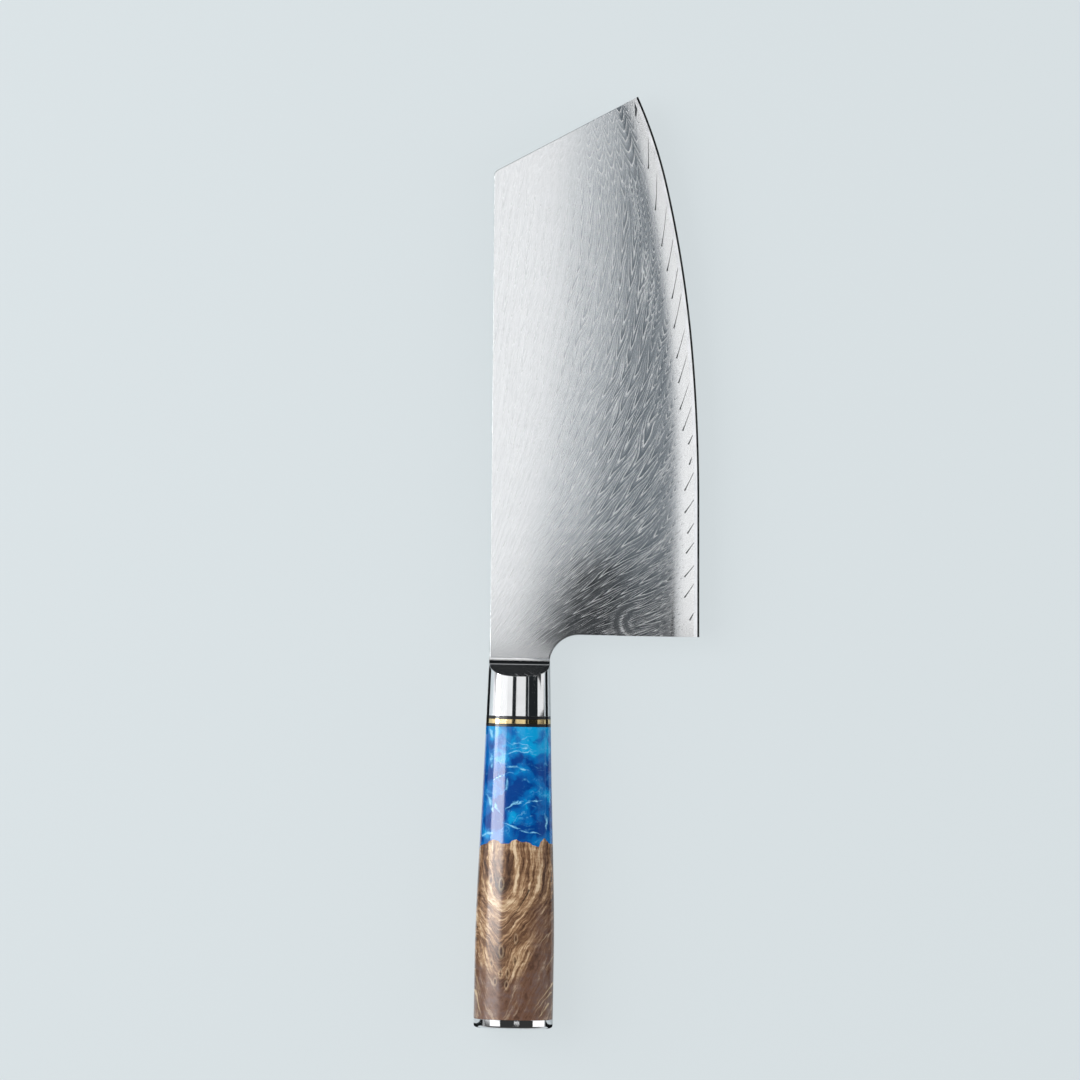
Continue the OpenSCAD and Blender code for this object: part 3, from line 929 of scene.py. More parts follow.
    def _streaks(self, g: MaterialGraph, flow: Sequence[Socket], depth: Socket,
                 tone: Socket) -> tuple[Socket, Socket]:
        """Lay patches, streaks, hairlines and speckles over the chevrons.

        Args:
            g: the material's graph.
            flow: place across and along the streaks.
            depth: how far the place lies inside the cutting edge.
            tone: tone of the chevrons about zero.

        Returns:
            The new tone, and the broad streaks' own tone about zero.
        """
        tone = g.times(tone, g.spread(self._drawn(g, flow, self.patch), 0.32, 0.6, 0.7, 1.3))
        smoother = g.times(g.spread(flow[1], 66.0, 84.0, 1.0, 0.35),
                           g.spread(depth, 9.0, 13.0, 0.5, 1.0))
        streak, fine = (g.times(g.minus(self._drawn(g, flow, grain), 0.5), smoother)
                        for grain in (self.streak, self.fine))
        hair = g.times(g.threads(self._drawn(g, flow, self.hair), 0.02), smoother)
        grit = g.noise(g.place, 2.4, 3.0, 0.7)
        cluster = self._drawn(g, flow, self.cluster)
        speckle = g.times(g.spread(cluster, 0.56, 0.68), g.spread(grit, 0.42, 0.62))
        for mark, weight in ((streak, 1.1), (fine, 0.7), (hair, 0.3), (speckle, 0.16)):
            tone = g.times_plus(mark, weight, tone)
        return g.swing(grit, 0.14, tone), streak

    def _layers(self, g: MaterialGraph, depth: Socket) -> Socket:
        """Tone of the etched layers, calmer by the spine and the neck, darkened by painted shade pools.

        Args:
            g: the material's graph.
            depth: how far the place lies inside the cutting edge.

        Returns:
            The tone, from dark at 0 to bright at 1.
        """
        flow = g.group(self.effects.flow, place=g.place).outputs
        tone, streak = self._streaks(g, flow, depth, self._pattern(g, flow, depth))
        x, y, _ = g.split(g.place)
        from_spine = g.times_plus(g.greater(g.minus(y, 110.0), 0.0), -0.15, x)
        calm = g.greater(g.spread(from_spine, 6.0, 20.0, 0.3, 1.0),
                         g.spread(y, 10.0, 34.0, 0.85, 0.0))
        calm = g.times(calm, g.spread(y, 3.0, 13.0, 0.12, 1.0))
        arcs, near = self._crescents(g, streak)
        calm = g.times(calm, g.times_plus(near, -0.75, 1.0))
        tone = g.times_plus(tone, calm, arcs)
        # Painted shade: dark pools that stand in for dark reflections, the deepest by the choil
        for shade_pool_x, shade_pool_y, reach, added in self.painted_shade_pools:
            away = self._away(g, (shade_pool_x, shade_pool_y), 0.75)
            tone = g.plus(tone, g.spread(away, 2.0, reach, added, 0.0))
        return g.plus(tone, self.middle_tone, clamp=True)

    @staticmethod
    def _away(g: MaterialGraph, middle: Point, squash: float) -> Socket:
        """How far a place is from the middle of an oval spot, squashed along the knife."""
        x, y, _ = g.split(g.place)
        return g.vector("LENGTH", g.join(g.minus(x, middle[0]), g.times(g.minus(y, middle[1]), squash)))

    def _crescents(self, g: MaterialGraph, streak: Socket) -> tuple[Socket, Socket]:
        """Large pale crescents of layers near the heel.

        Args:
            g: the material's graph.
            streak: tone of the streaks about zero.

        Returns:
            Tone of the crescents about zero, and mask of their place.
        """
        x, _, _ = g.split(g.place)
        away = self._away(g, self.crescents, 1.3)
        ring = g.math("SINE", g.times_plus(away, 1.9, g.times(streak, 1.6)))
        near = g.times(g.spread(away, 1.5, 3.0), g.spread(away, 9.0, 12.5, 1.0, 0.0))
        near = g.times(near, g.spread(x, 35.0, 40.0, 1.0, 0.0))
        return g.times(g.times_plus(ring, 0.2, 0.06), near), near

    def make(self) -> Material:
        """Build the material.

        Returns:
            The layered steel.
        """
        g = MaterialGraph("etched_layered_steel", self.axes)
        depth = self._depth(g)
        tone = self._layers(g, depth)
        bevel, lines = self._bevel(g, depth)
        etched = g.ramp(tone, ((0.0, self.dark), (0.5, self.middle), (0.85, self.bright)))
        ground = g.mix(g.noise(g.place, 2.5, 4.0), self.ground, toned(self.ground, 0.93))
        on_bevel = g.times(lines, g.spread(bevel, 0.1, 0.6))
        colour = g.mix(on_bevel, g.mix(bevel, etched, ground), self.line_black)
        rough = g.spread(tone, 0.5, 0.85, self.smooth_rough, self.etched_rough)
        shine = g.spread(tone, 0.1, 0.45, self.smooth_rough - self.dark_rough, 0.0)
        rough = g.minus(rough, shine)
        rough = g.times_plus(g.minus(self.ground_rough, rough), bevel, rough)
        height = g.minus(g.times(tone, g.minus(1.0, bevel)), on_bevel)
        return g.dress(colour, rough, g.bump(height, self.relief), Metallic=1.0)


@dataclass(frozen=True)
class CoreSteel(Finish):
    """Plain hard steel, satin along the flat."""

    colour: Colour = (0.78, 0.79, 0.81)
    base: float = 0.1
    smears: float = 0.06

    def make(self, name: str) -> Material:
        """Build the material.

        Args:
            name: the material's name.

        Returns:
            The satin steel.
        """
        g = MaterialGraph(name, self.axes)
        satin = g.noise(g.scaled(g.place, (6.0, 0.12, 3.0)), 1.0, 4.0, 0.65)
        rough, marks, _ = self.polish(g, self.smears, self.base)
        colour = g.mix(satin, toned(self.colour, 0.8), self.colour)
        height = g.times_plus(satin, 0.7, marks)
        return g.dress(colour, rough, g.bump(height, 0.004, 0.3), Metallic=1.0)


@dataclass(frozen=True)
class PolishedMetal(Finish):
    """Mirror polished steel or brass with faint smears and hairlines."""

    colour: Colour = (0.86, 0.865, 0.875)
    base: float = 0.035
    smears: float = 0.03

    def make(self, name: str) -> Material:
        """Build the material.

        Args:
            name: the material's name.

        Returns:
            The polished metal.
        """
        g = MaterialGraph(name, self.axes)
        rough, marks, tint = self.polish(g, self.smears, self.base)
        colour = g.mix(tint, self.colour, toned(self.colour, 0.94))
        return g.dress(colour, rough, g.bump(marks, 0.002, 0.15), Metallic=1.0)


@dataclass(frozen=True)
class BlackFibre(Finish):
    """Black spacer material, polished flush with the metal beside it."""

    dark: Colour = (0.006, 0.006, 0.007)
    light: Colour = (0.02, 0.02, 0.022)
    base: float = 0.16
    smears: float = 0.1

    def make(self) -> Material:
        """Build the material.

        Returns:
            The polished fibre.
        """
        g = MaterialGraph("black_fibre", self.axes)
        fleck = g.noise(g.scaled(g.place, (1.2, 6.0, 1.2)), 2.0, 4.0, 0.7)
        rough, _, _ = self.polish(g, self.smears, self.base)
        colour = g.ramp(fleck, ((0.3, self.dark), (0.7, self.light)))
        return g.dress(colour, rough, g.bump(fleck, 0.01, 0.2))


@dataclass(frozen=True)
class PearlResin(Finish):
    """Polished blue resin with pearly clouds and bright wisps.

    Wisps are given by x, y, angle, length, width and bend of each.
    """

    deep: Colour = shade(0, 64, 142)
    azure: Colour = shade(0, 104, 180)
    pale: Colour = shade(0, 156, 216)
    pearl: Colour = shade(150, 214, 244)
    base: float = 0.12
    smears: float = 0.04
    wisps: tuple[tuple[float, float, float, float, float, float], ...] = (
        (-4.6, -30.1, 5, 10.6, 0.22, 0.3), (-4.0, -34.8, -6, 7.6, 0.34, 0.8),
        (-9.2, -40.0, 24, 8.0, 0.24, 0.6), (-3.0, -38.6, 250, 4.4, 0.5, 0.3),
        (-4.0, -49.4, 30, 7.5, 0.26, 0.9), (-1.4, -46.2, 20, 2.2, 0.26, 0.0),
        (1.6, -46.6, 8, 7.0, 0.2, 0.5), (-4.6, -53.6, -16, 6.6, 0.3, 0.3),
        (0.4, -55.6, -12, 8.0, 0.22, 0.3), (-12.2, -58.8, 30, 5.0, 0.4, 0.4),
        (-9.3, -29.8, -80, 5.4, 0.5, 0.3), (-10.4, -44.0, -66, 6.4, 0.5, 0.6),
        (9.4, -49.5, -86, 6.0, 0.34, 0.3), (-9.9, -21.5, -70, 4.4, 0.5, 0.5),
        (-7.2, -46.0, -60, 5.0, 0.4, -0.6), (1.0, -25.2, 14, 4.4, 0.24, 0.5),
        (-3.6, -26.4, -10, 8.6, 0.16, 0.5), (-2.6, -28.2, -4, 8.0, 0.14, 0.4),
    )

    def _light(self, g: MaterialGraph, bent: Socket) -> Socket:
        """How pearly a place is: a veil, silk and the wisps.

        Args:
            g: the material's graph.
            bent: the place after the resin's slow swirl.

        Returns:
            Mask of the pearl.
        """
        loose = g.shifted(g.place, g.wobble(g.place, 0.3, 2.0, 0.5, (2.0, 3.0, 2.0)))
        patchy = g.noise(g.place, 0.55, 3.0, 0.6)
        strokes = g.strokes(self.effects.wisp, loose, self.wisps, ["length", "width", "bend"])
        strokes = g.times(strokes, g.spread(patchy, 0.35, 0.6, 0.3, 1.0))
        veil = g.times(g.threads(g.noise(bent, 0.14, 4.0, 0.6, 0.3), 0.03),
                       g.spread(g.noise(g.place, 0.13, 1.0, 0.5), 0.52, 0.68))
        silk = g.noise(g.scaled(bent, (0.09, 0.8, 0.3)), 1.0, 4.0, 0.6)
        silk = g.times(g.spread(silk, 0.5, 0.74), g.spread(patchy, 0.4, 0.65))
        return g.plus(g.times_plus(silk, 0.45, g.times(veil, 0.4)), strokes, clamp=True)

    def make(self) -> Material:
        """Build the material.

        Returns:
            The pearly resin.
        """
        g = MaterialGraph("pearl_resin", self.axes)
        bent = g.shifted(g.place, g.wobble(g.place, 0.11, 3.0, 0.55, (9.0, 9.0, 9.0)))
        _, y, _ = g.split(g.place)
        cloud = g.plus(g.noise(bent, 0.13, 3.0, 0.5), g.spread(y, -40.0, -24.0, -0.05, 0.09))
        clouds = g.ramp(cloud, ((0.38, self.deep), (0.5, self.azure), (0.63, self.pale)), "EASE")
        light = self._light(g, bent)
        halo = g.mix(g.times(light, 0.8), clouds, self.pale)
        colour = g.mix(g.math("POWER", light, 1.6), halo, self.pearl)
        rough, marks, _ = self.polish(g, self.smears, self.base)
        return g.dress(colour, rough, g.bump(marks, 0.002, 0.2), IOR=1.52)


@dataclass(frozen=True)
class BurlWood(Finish):
    """Polished stabilised burl with fine cream streaks that rise in a vee, and small eyes.

    Streaks are given by x, y, angle, length and thickness of each, eyes by x, y and size.
    """

    tones: tuple[tuple[float, Colour], ...] = (
        (0.25, shade(58, 40, 32)), (0.39, shade(98, 70, 52)), (0.5, shade(136, 102, 75)),
        (0.6, shade(178, 143, 108)), (0.72, shade(226, 200, 166)),
    )
    plain: Colour = shade(116, 84, 68)
    # Greyish plum, also used as the painted sheen on the right side
    plum_and_sheen: Colour = shade(104, 82, 76)
    cream: Colour = shade(224, 198, 160)
    heart: Colour = shade(52, 36, 30)
    crack: Colour = shade(34, 24, 22)
    base: float = 0.2
    smears: float = 0.05
    vee_x: float = -4.6
    vee_slope: float = 0.42
    vee_top: float = -62.0
    vee_round: float = 2.5
    calm_x: float = -3.2
    streaks: tuple[tuple[float, float, float, float, float], ...] = (
        (12.9, -106.4, 234, 11.0, 0.3), (12.4, -109.6, 229, 8.0, 0.2), (11.6, -113.2, 236, 6.0, 0.3),
        (10.9, -90.3, 228, 6.2, 0.12), (-12.9, -109.0, 286, 9.0, 0.5), (-13.2, -102.0, 282, 9.0, 0.2),
        (-12.4, -104.6, 284, 8.0, 0.12), (13.2, -97.0, 238, 7.0, 0.12),
    )
    crack_line: tuple[float, float, float, float] = (4.6, -75.2, 245, 12.5)
    eyes: tuple[tuple[float, float, float], ...] = (
        (-8.27, -72.7, 1.0), (-4.75, -73.63, 1.1), (-4.35, -95.89, 1.1), (0.54, -91.47, 0.8),
        (0.38, -98.95, 1.0), (-7.46, -99.52, 0.8), (-4.56, -102.98, 0.9), (-2.16, -102.93, 0.8),
        (-6.28, -105.84, 0.8), (-2.39, -106.64, 0.8),
    )
    eye_size: Point = (0.6, 1.5)

    def _eyes(self, g: MaterialGraph, place: Socket) -> tuple[Socket, Socket]:
        """Pale rings and dark hearts of the small eyes.

        Args:
            g: the material's graph.
            place: the place in millimetres, a little swayed.

        Returns:
            Mask of the rings and mask of the hearts.
        """
        rings: object = 0.0
        hearts: object = 0.0
        for x, y, size in self.eyes:
            away = g.vector("SUBTRACT", place, (x, y, 0.0))
            far = g.vector("LENGTH", g.scaled(away, (
                1 / self.eye_size[0] / size, 1 / self.eye_size[1] / size, 0.0
            )))
            ring = g.times(g.spread(far, 0.7, 1.0), g.spread(far, 1.0, 1.7, 1.0, 0.0))
            rings = g.greater(rings, ring)
            hearts = g.greater(hearts, g.spread(far, 0.2, 0.9, 1.0, 0.0))
        return rings, hearts

    def _figure(self, g: MaterialGraph, loose: Socket) -> tuple[Socket, Socket, Socket]:
        """The grain, which fans out below a vee.

        Args:
            g: the material's graph.
            loose: how far the grain sways.

        Returns:
            Tone of the wood, the fine grain, and the pores.
        """
        x, y, z = g.split(g.shifted(g.place, loose))
        off = g.minus(x, self.vee_x)
        fold = g.math("SQRT", g.times_plus(off, off, self.vee_round))
        down = g.minus(self.vee_top, y)
        lane = g.times_plus(down, g.spread(down, 3.0, 32.0, 0.02, self.vee_slope), fold)
        along = g.times(y, 0.045)
        deep = g.times_plus(z, 0.14, 2.7)
        broad = g.noise(g.join(g.times(lane, 0.5), along, deep), 1.0, 3.0, 0.55)
        fine = g.noise(g.join(g.times(lane, 1.8), g.times(along, 2.6), g.times(deep, 3.0)),
                       1.0, 4.0, 0.6)
        pores = g.noise(g.join(g.times(lane, 4.5), g.times(along, 9.0), g.times(deep, 12.0)),
                        1.0, 3.0, 0.7)
        shimmer = g.noise(g.scaled(g.place, (0.25, 0.9, 0.4)), 1.0, 2.0, 0.5)
        tone: object = 0.49
        for noise, weight in ((broad, 0.9), (fine, 0.75), (pores, 0.4), (shimmer, 0.22)):
            tone = g.swing(noise, weight, tone)
        return g.plus(tone, g.spread(y, -70.0, self.vee_top, 0.0, 0.05)), fine, pores

    def _plain_and_sheen(self, g: MaterialGraph, tone: Socket) -> Socket:
        """Mask of the plainer wood by the butt, and of a painted greyish sheen on the right side."""
        x, y, _ = g.split(g.place)
        low = g.times_plus(g.math("ABSOLUTE", g.minus(x, self.calm_x)), -1.0, y)
        low = g.times_plus(g.noise(g.place, 0.11, 3.0, 0.5), 6.0, low)
        bottom = g.spread(low, -108.5, -101.5, 1.0, 0.0)
        # Painted sheen: the right side turns greyish plum, standing in for the coat's reflected veil
        right = g.times(g.spread(x, 3.0, 8.0), g.spread(y, -76.0, -86.0))
        plain_and_sheen_share = g.greater(g.times(bottom, 0.85), g.times(right, 0.6))
        return g.times(plain_and_sheen_share, g.minus(1.0, g.times(g.spread(tone, 0.6, 0.68), 0.2)))

    def make(self) -> Material:
        """Build the material.

        Returns:
            The burl.
        """
        g = MaterialGraph("burl_wood", self.axes)
        stroke = self.effects.stroke
        loose = g.shifted(g.wobble(g.place, 0.11, 3.0, 0.5, (3.0, 4.0, 4.0)),
                          g.wobble(g.place, 0.5, 3.0, 0.6, (0.7, 1.6, 1.1)))
        tone, fine, pores = self._figure(g, loose)
        # Plain wood tones by the butt; on the right the same greyish plum tones are a painted sheen
        plain_and_sheen_colour = g.ramp(g.swing(tone, 0.5, g.noise(g.place, 0.35, 4.0, 0.65)), (
            (0.3, toned(self.plain, 0.62)), (0.46, self.plain), (0.56, self.plum_and_sheen),
            (0.7, toned(self.plum_and_sheen, 1.35))
        ))
        colour = g.mix(self._plain_and_sheen(g, tone), g.ramp(tone, self.tones), plain_and_sheen_colour)
        gently = g.shifted(g.place, g.scaled(loose, (0.5,) * 3))
        thin = g.strokes(stroke, gently, self.streaks, ["length", "thick"],
                         thin=0.12, head=6.0, soft=0.35)
        thin = g.times(thin, g.spread(fine, 0.3, 0.6, 0.3, 0.9))
        rings, hearts = self._eyes(g, gently)
        crack = g.strokes(stroke, g.place, [self.crack_line], ["length"],
                          thick=0.3, thin=0.14, head=5.0, bend=-0.01, soft=0.2)
        for mask, weight, paint in ((thin, 1.0, self.cream), (rings, 0.28, self.cream),
                                    (hearts, 0.68, self.heart), (crack, 0.85, self.crack)):
            colour = g.mix(g.times(mask, weight), colour, paint)
        rough, _, _ = self.polish(g, self.smears, self.base)
        return g.dress(colour, rough, g.bump(g.times_plus(pores, 0.5, fine), 0.004, 0.4))


@dataclass(frozen=True)
class CuredEpoxy(Finish):
    """Amber bedding with small bubbles."""

    dark: Colour = shade(150, 112, 60)
    light: Colour = shade(206, 176, 120)

    def make(self) -> Material:
        """Build the material.

        Returns:
            The epoxy.
        """
        g = MaterialGraph("cured_epoxy", self.axes)
        cloud = g.noise(g.place, 0.5, 4.0, 0.6)
        colour = g.ramp(cloud, ((0.3, self.dark), (0.7, self.light)))
        return g.dress(colour, g.spread(cloud, 0.3, 0.7, 0.2, 0.45), g.bump(cloud, 0.1, 0.4))


@dataclass
class Blade:
    """The laminated blade: one ground billet, parted into its core and two claddings.

    Arcs of the edge are given by radius, share of the curved length and steps, and the last one
    runs to the tip. The shoulder's roundness is given by half thickness and share of the slope.
    """

    axes: HandleAxes
    length: float = 180.0
    height: float = 69.8
    heel_gap: float = 9.7
    choil_radius: float = 10.0
    spine_lean: float = 0.5
    clip_angle: float = 28.6
    corner_radius: float = 2.4
    neck_x: float = 9.95
    flat_length: float = 45.0
    edge_lean: float = 1.0
    arcs: tuple[tuple[float, float, int], ...] = (
        (600.0, 0.38, 26), (400.0, 0.41, 30), (160.0, 0.0, 60)
    )
    past_tip: float = 25.0
    spine_thickness: float = 2.2
    spine_tip_thickness: float = 1.8
    shoulder_thickness: float = 1.9
    bevel_width: float = 7.2
    edge_thickness: float = 0.35
    cutting_bevel: float = 0.68
    edge_land: float = 0.04
    core_thickness: float = 0.6
    seat_depth: float = 4.0
    seat_thickness: float = 2.0
    shoulder_y: float = 1.82
    shoulder_round: tuple[Point, ...] = (
        (0.498, 1.0), (0.633, 0.836), (0.738, 0.65), (0.816, 0.483), (0.87, 0.335),
        (0.903, 0.204), (0.93, 0.112), (1.15, 0.056), (2.2, 1.0)
    )
    tang: tuple[float, float, float] = (10.0, 1.8, 45.1)
    bar_thickness: float = 6.0
    ease: float = 0.55
    ease_drop: float = 0.6
    ease_range: Point = (9.0, 23.0)
    rim_rise: float = 0.3
    overrun: float = 5.0
    cutter_reach: Point = (12.0, 4.0)
    edge_stations: tuple[float, ...] = (0, 20, 45, 70, 95, 115, 130, 145, 160, 175, 190, 200)
    arc_steps: int = 6
    choil_steps: int = 40
    corner_steps: int = 16

    def __post_init__(self) -> None:
        """Draw the cutting edge once, from the heel to the tip."""
        lean = math.radians(self.edge_lean)
        self.heel = (self.height - self.neck_x, self.heel_gap)
        start = (self.heel[0] - self.flat_length * math.sin(lean),
                 self.heel[1] + self.flat_length * math.cos(lean))
        heading = self.edge_lean
        curved = self.length - self.flat_length
        self.sweeps: list[tuple[Point, float, int]] = []
        self.edge_line = [self.heel, start]
        for radius, share, steps in self.arcs:
            a = math.radians(heading)
            centre = (start[0] - radius * math.cos(a), start[1] - radius * math.sin(a))
            if share:
                turn = math.degrees(share * curved / radius)
            else:
                to_tip = (self.heel_gap + self.length - centre[1]) / radius
                turn = math.degrees(math.asin(to_tip)) - heading
            end = math.radians(heading + turn)
            self.edge_line += arc(centre, radius, a, end, self.arc_steps)[1:]
            self.sweeps.append((centre, turn, steps))
            start = self.edge_line[-1]
            heading += turn
        self.tip = start

    def edge_points(self) -> tuple[Point, ...]:
        """The cutting edge as a curve for the steel's material.

        Returns:
            Points of the edge at the stations, as shares of the material's span.
        """
        long, wide = BladeSteel.edge_span
        points = []
        for y in self.edge_stations:
            x = self.tip[0]
            for (x0, y0), (x1, y1) in zip(self.edge_line, self.edge_line[1:]):
                if y <= y1:
                    x = x0 + (x1 - x0) * (y - y0) / (y1 - y0)
                    break
            points.append((y / long, x / wide))
        return tuple(points)

    def _outline(self) -> list[Vector]:
        """Corners of the blank's outline, left open past the cutting edge.

        Returns:
            The corners in the frame, below the blade.
        """
        lean, clip = math.radians(self.spine_lean), math.radians(self.clip_angle)
        slope, fall = math.tan(lean), math.tan(clip)
        corner_y = (self.tip[1] - fall * (self.tip[0] + self.neck_x)) / (1 + fall * slope)
        corner = (-self.neck_x - slope * corner_y, corner_y)
        reach = self.corner_radius / math.tan((math.pi / 2 + clip - lean) / 2)
        centre = (corner[0] + reach * math.sin(lean) + self.corner_radius * math.cos(lean),
                  corner[1] - reach * math.cos(lean) + self.corner_radius * math.sin(lean))
        choil = (self.neck_x + self.choil_radius, self.heel_gap - self.choil_radius)
        outside = self.heel[0] + self.overrun
        points = [
            (-self.neck_x + slope * self.seat_depth, -self.seat_depth),
            (self.neck_x, -self.seat_depth),
            *arc(choil, self.choil_radius, math.pi, math.pi / 2, self.choil_steps),
            (outside, self.heel_gap),
            (outside, self.tip[1] + (outside - self.tip[0]) * fall),
            *arc(centre, self.corner_radius, math.pi / 2 + clip, math.pi + lean, self.corner_steps),
        ]
        return [self.axes.at(x, y, -self.bar_thickness / 2) for x, y in points]

    def _section(self) -> list[Point]:
        """The ground section, as place from the edge and height, from the spine's side down."""
        run, rise = self.cutting_bevel, self.edge_thickness / 2
        slope = (self.shoulder_thickness - self.edge_thickness) / 2 / self.bevel_width
        upper = [(0.0, self.edge_land / 2), (-run, rise)]
        for top, share in self.shoulder_round:
            run += (top - rise) / (slope * share)
            rise = top
            upper.append((-run, rise))
        upper.append((-self.height - 2 * self.overrun, rise))
        return [*reversed(upper), *((d, -z) for d, z in upper)]

    def _grind(self) -> Workpiece:
        """Sweep the ground section along the whole cutting edge.

        Returns:
            The swept body.
        """
        lean = math.radians(self.edge_lean)
        back = self.heel_gap + self.seat_depth + self.overrun
        start = (self.heel[0] + back * math.sin(lean), self.heel[1] - back * math.cos(lean))
        stone = Workpiece.outline([
            self.axes.at(start[0] + d * math.cos(lean), start[1] + d * math.sin(lean), z)
            for d, z in self._section()
        ])
        stone.edit_all()
        straight = back + self.flat_length
        stone.extrude(Vector((-straight * math.sin(lean), straight * math.cos(lean), 0)) * MM)
        for centre, turn, steps in self.sweeps:
            extra = self.past_tip if centre is self.sweeps[-1][0] else 0.0
            stone.spin(turn + extra, self.axes.at(*centre), steps)
        stone.rest()
        return stone

    def _blank(self) -> Workpiece:
        """Cut the tapered blank with eased edges, before it is ground.

        Returns:
            The blank.
        """
        blank = Workpiece.bar(self._outline(), Vector((0, 0, self.bar_thickness * MM)))
        across = (self.spine_thickness - self.shoulder_thickness) / 2 / self.height
        along = (self.spine_thickness - self.spine_tip_thickness) / 2 / self.tip[1]
        for side in (1, -1):
            face = self.axes.at(-self.neck_x, 0, side * self.spine_thickness / 2)
            blank.cut(face, Vector((across, along, side)))
        blank.tidy()
        self._ease(blank)
        return blank

    def _ease(self, blank: Workpiece) -> None:
        """Round the rims of the blank's faces, most of all round the choil."""
        mesh = blank.obj.data
        weights = mesh.attributes.new("bevel_weight_edge", "FLOAT", "EDGE")
        half = self.choil_radius / 2
        choil = self.axes.at(self.neck_x + half, self.heel_gap - half)
        near, far = self.ease_range
        for edge in mesh.edges:
            a, b = blank.ends(edge)
            if abs(a.z - b.z) < self.rim_rise * MM:
                away = (((a + b) / 2 - choil).xy.length / MM - near) / (far - near)
                weights.data[edge.index].value = 1 - self.ease_drop * min(max(away, 0.0), 1.0)
        blank.apply("BEVEL", limit_method="WEIGHT", width=self.ease * MM, segments=4,
                    use_clamp_overlap=False)

    def forge(self) -> Workpiece:
        """Make the whole billet: blank, neck seat, grind and tang.

        Returns:
            The billet.
        """
        billet = self._blank()
        reach_x, reach_z = self.cutter_reach
        for side in (1, -1):
            low, high = sorted((side * self.seat_thickness / 2, side * reach_z))
            billet.combine(Workpiece.block(
                self.axes.at(-reach_x, -self.seat_depth - self.overrun, low),
                self.axes.at(reach_x, self.shoulder_y, high)
            ), "DIFFERENCE")
        billet.combine(self._grind(), "INTERSECT")
        width, thickness, reach = self.tang
        billet.combine(Workpiece.block(
            self.axes.at(-width / 2, -reach, -thickness / 2),
            self.axes.at(width / 2, -self.seat_depth / 2, thickness / 2)
        ), "UNION")
        billet.tidy()
        return billet

    def build(self, etched: Material, plain: Material) -> None:
        """Part the billet into its layers and dress them.

        Args:
            etched: material of the two claddings.
            plain: material of the core.
        """
        billet = self.forge()
        half = self.core_thickness / 2
        upper, lower = billet.copy(), billet.copy()
        top, bottom = self.axes.at(0, 0, half), self.axes.at(0, 0, -half)
        up = Vector((0, 0, 1))
        upper.cut(top, up, keep_behind=False)
        lower.cut(bottom, up)
        billet.cut(top, up)
        billet.cut(bottom, up, keep_behind=False)
        for piece, name, node, slot, look in (
            (upper, "blade_cladding_seen", "cladding_upper", Slot.DAMASCUS, etched),
            (lower, "blade_cladding_back", "cladding_lower", Slot.DAMASCUS, etched),
            (billet, "blade_core_and_tang", "blade_core", Slot.CORE, plain),
        ):
            piece.smooth(40, crease=(5.5, 13))
            piece.settle(name, look, node, slot)


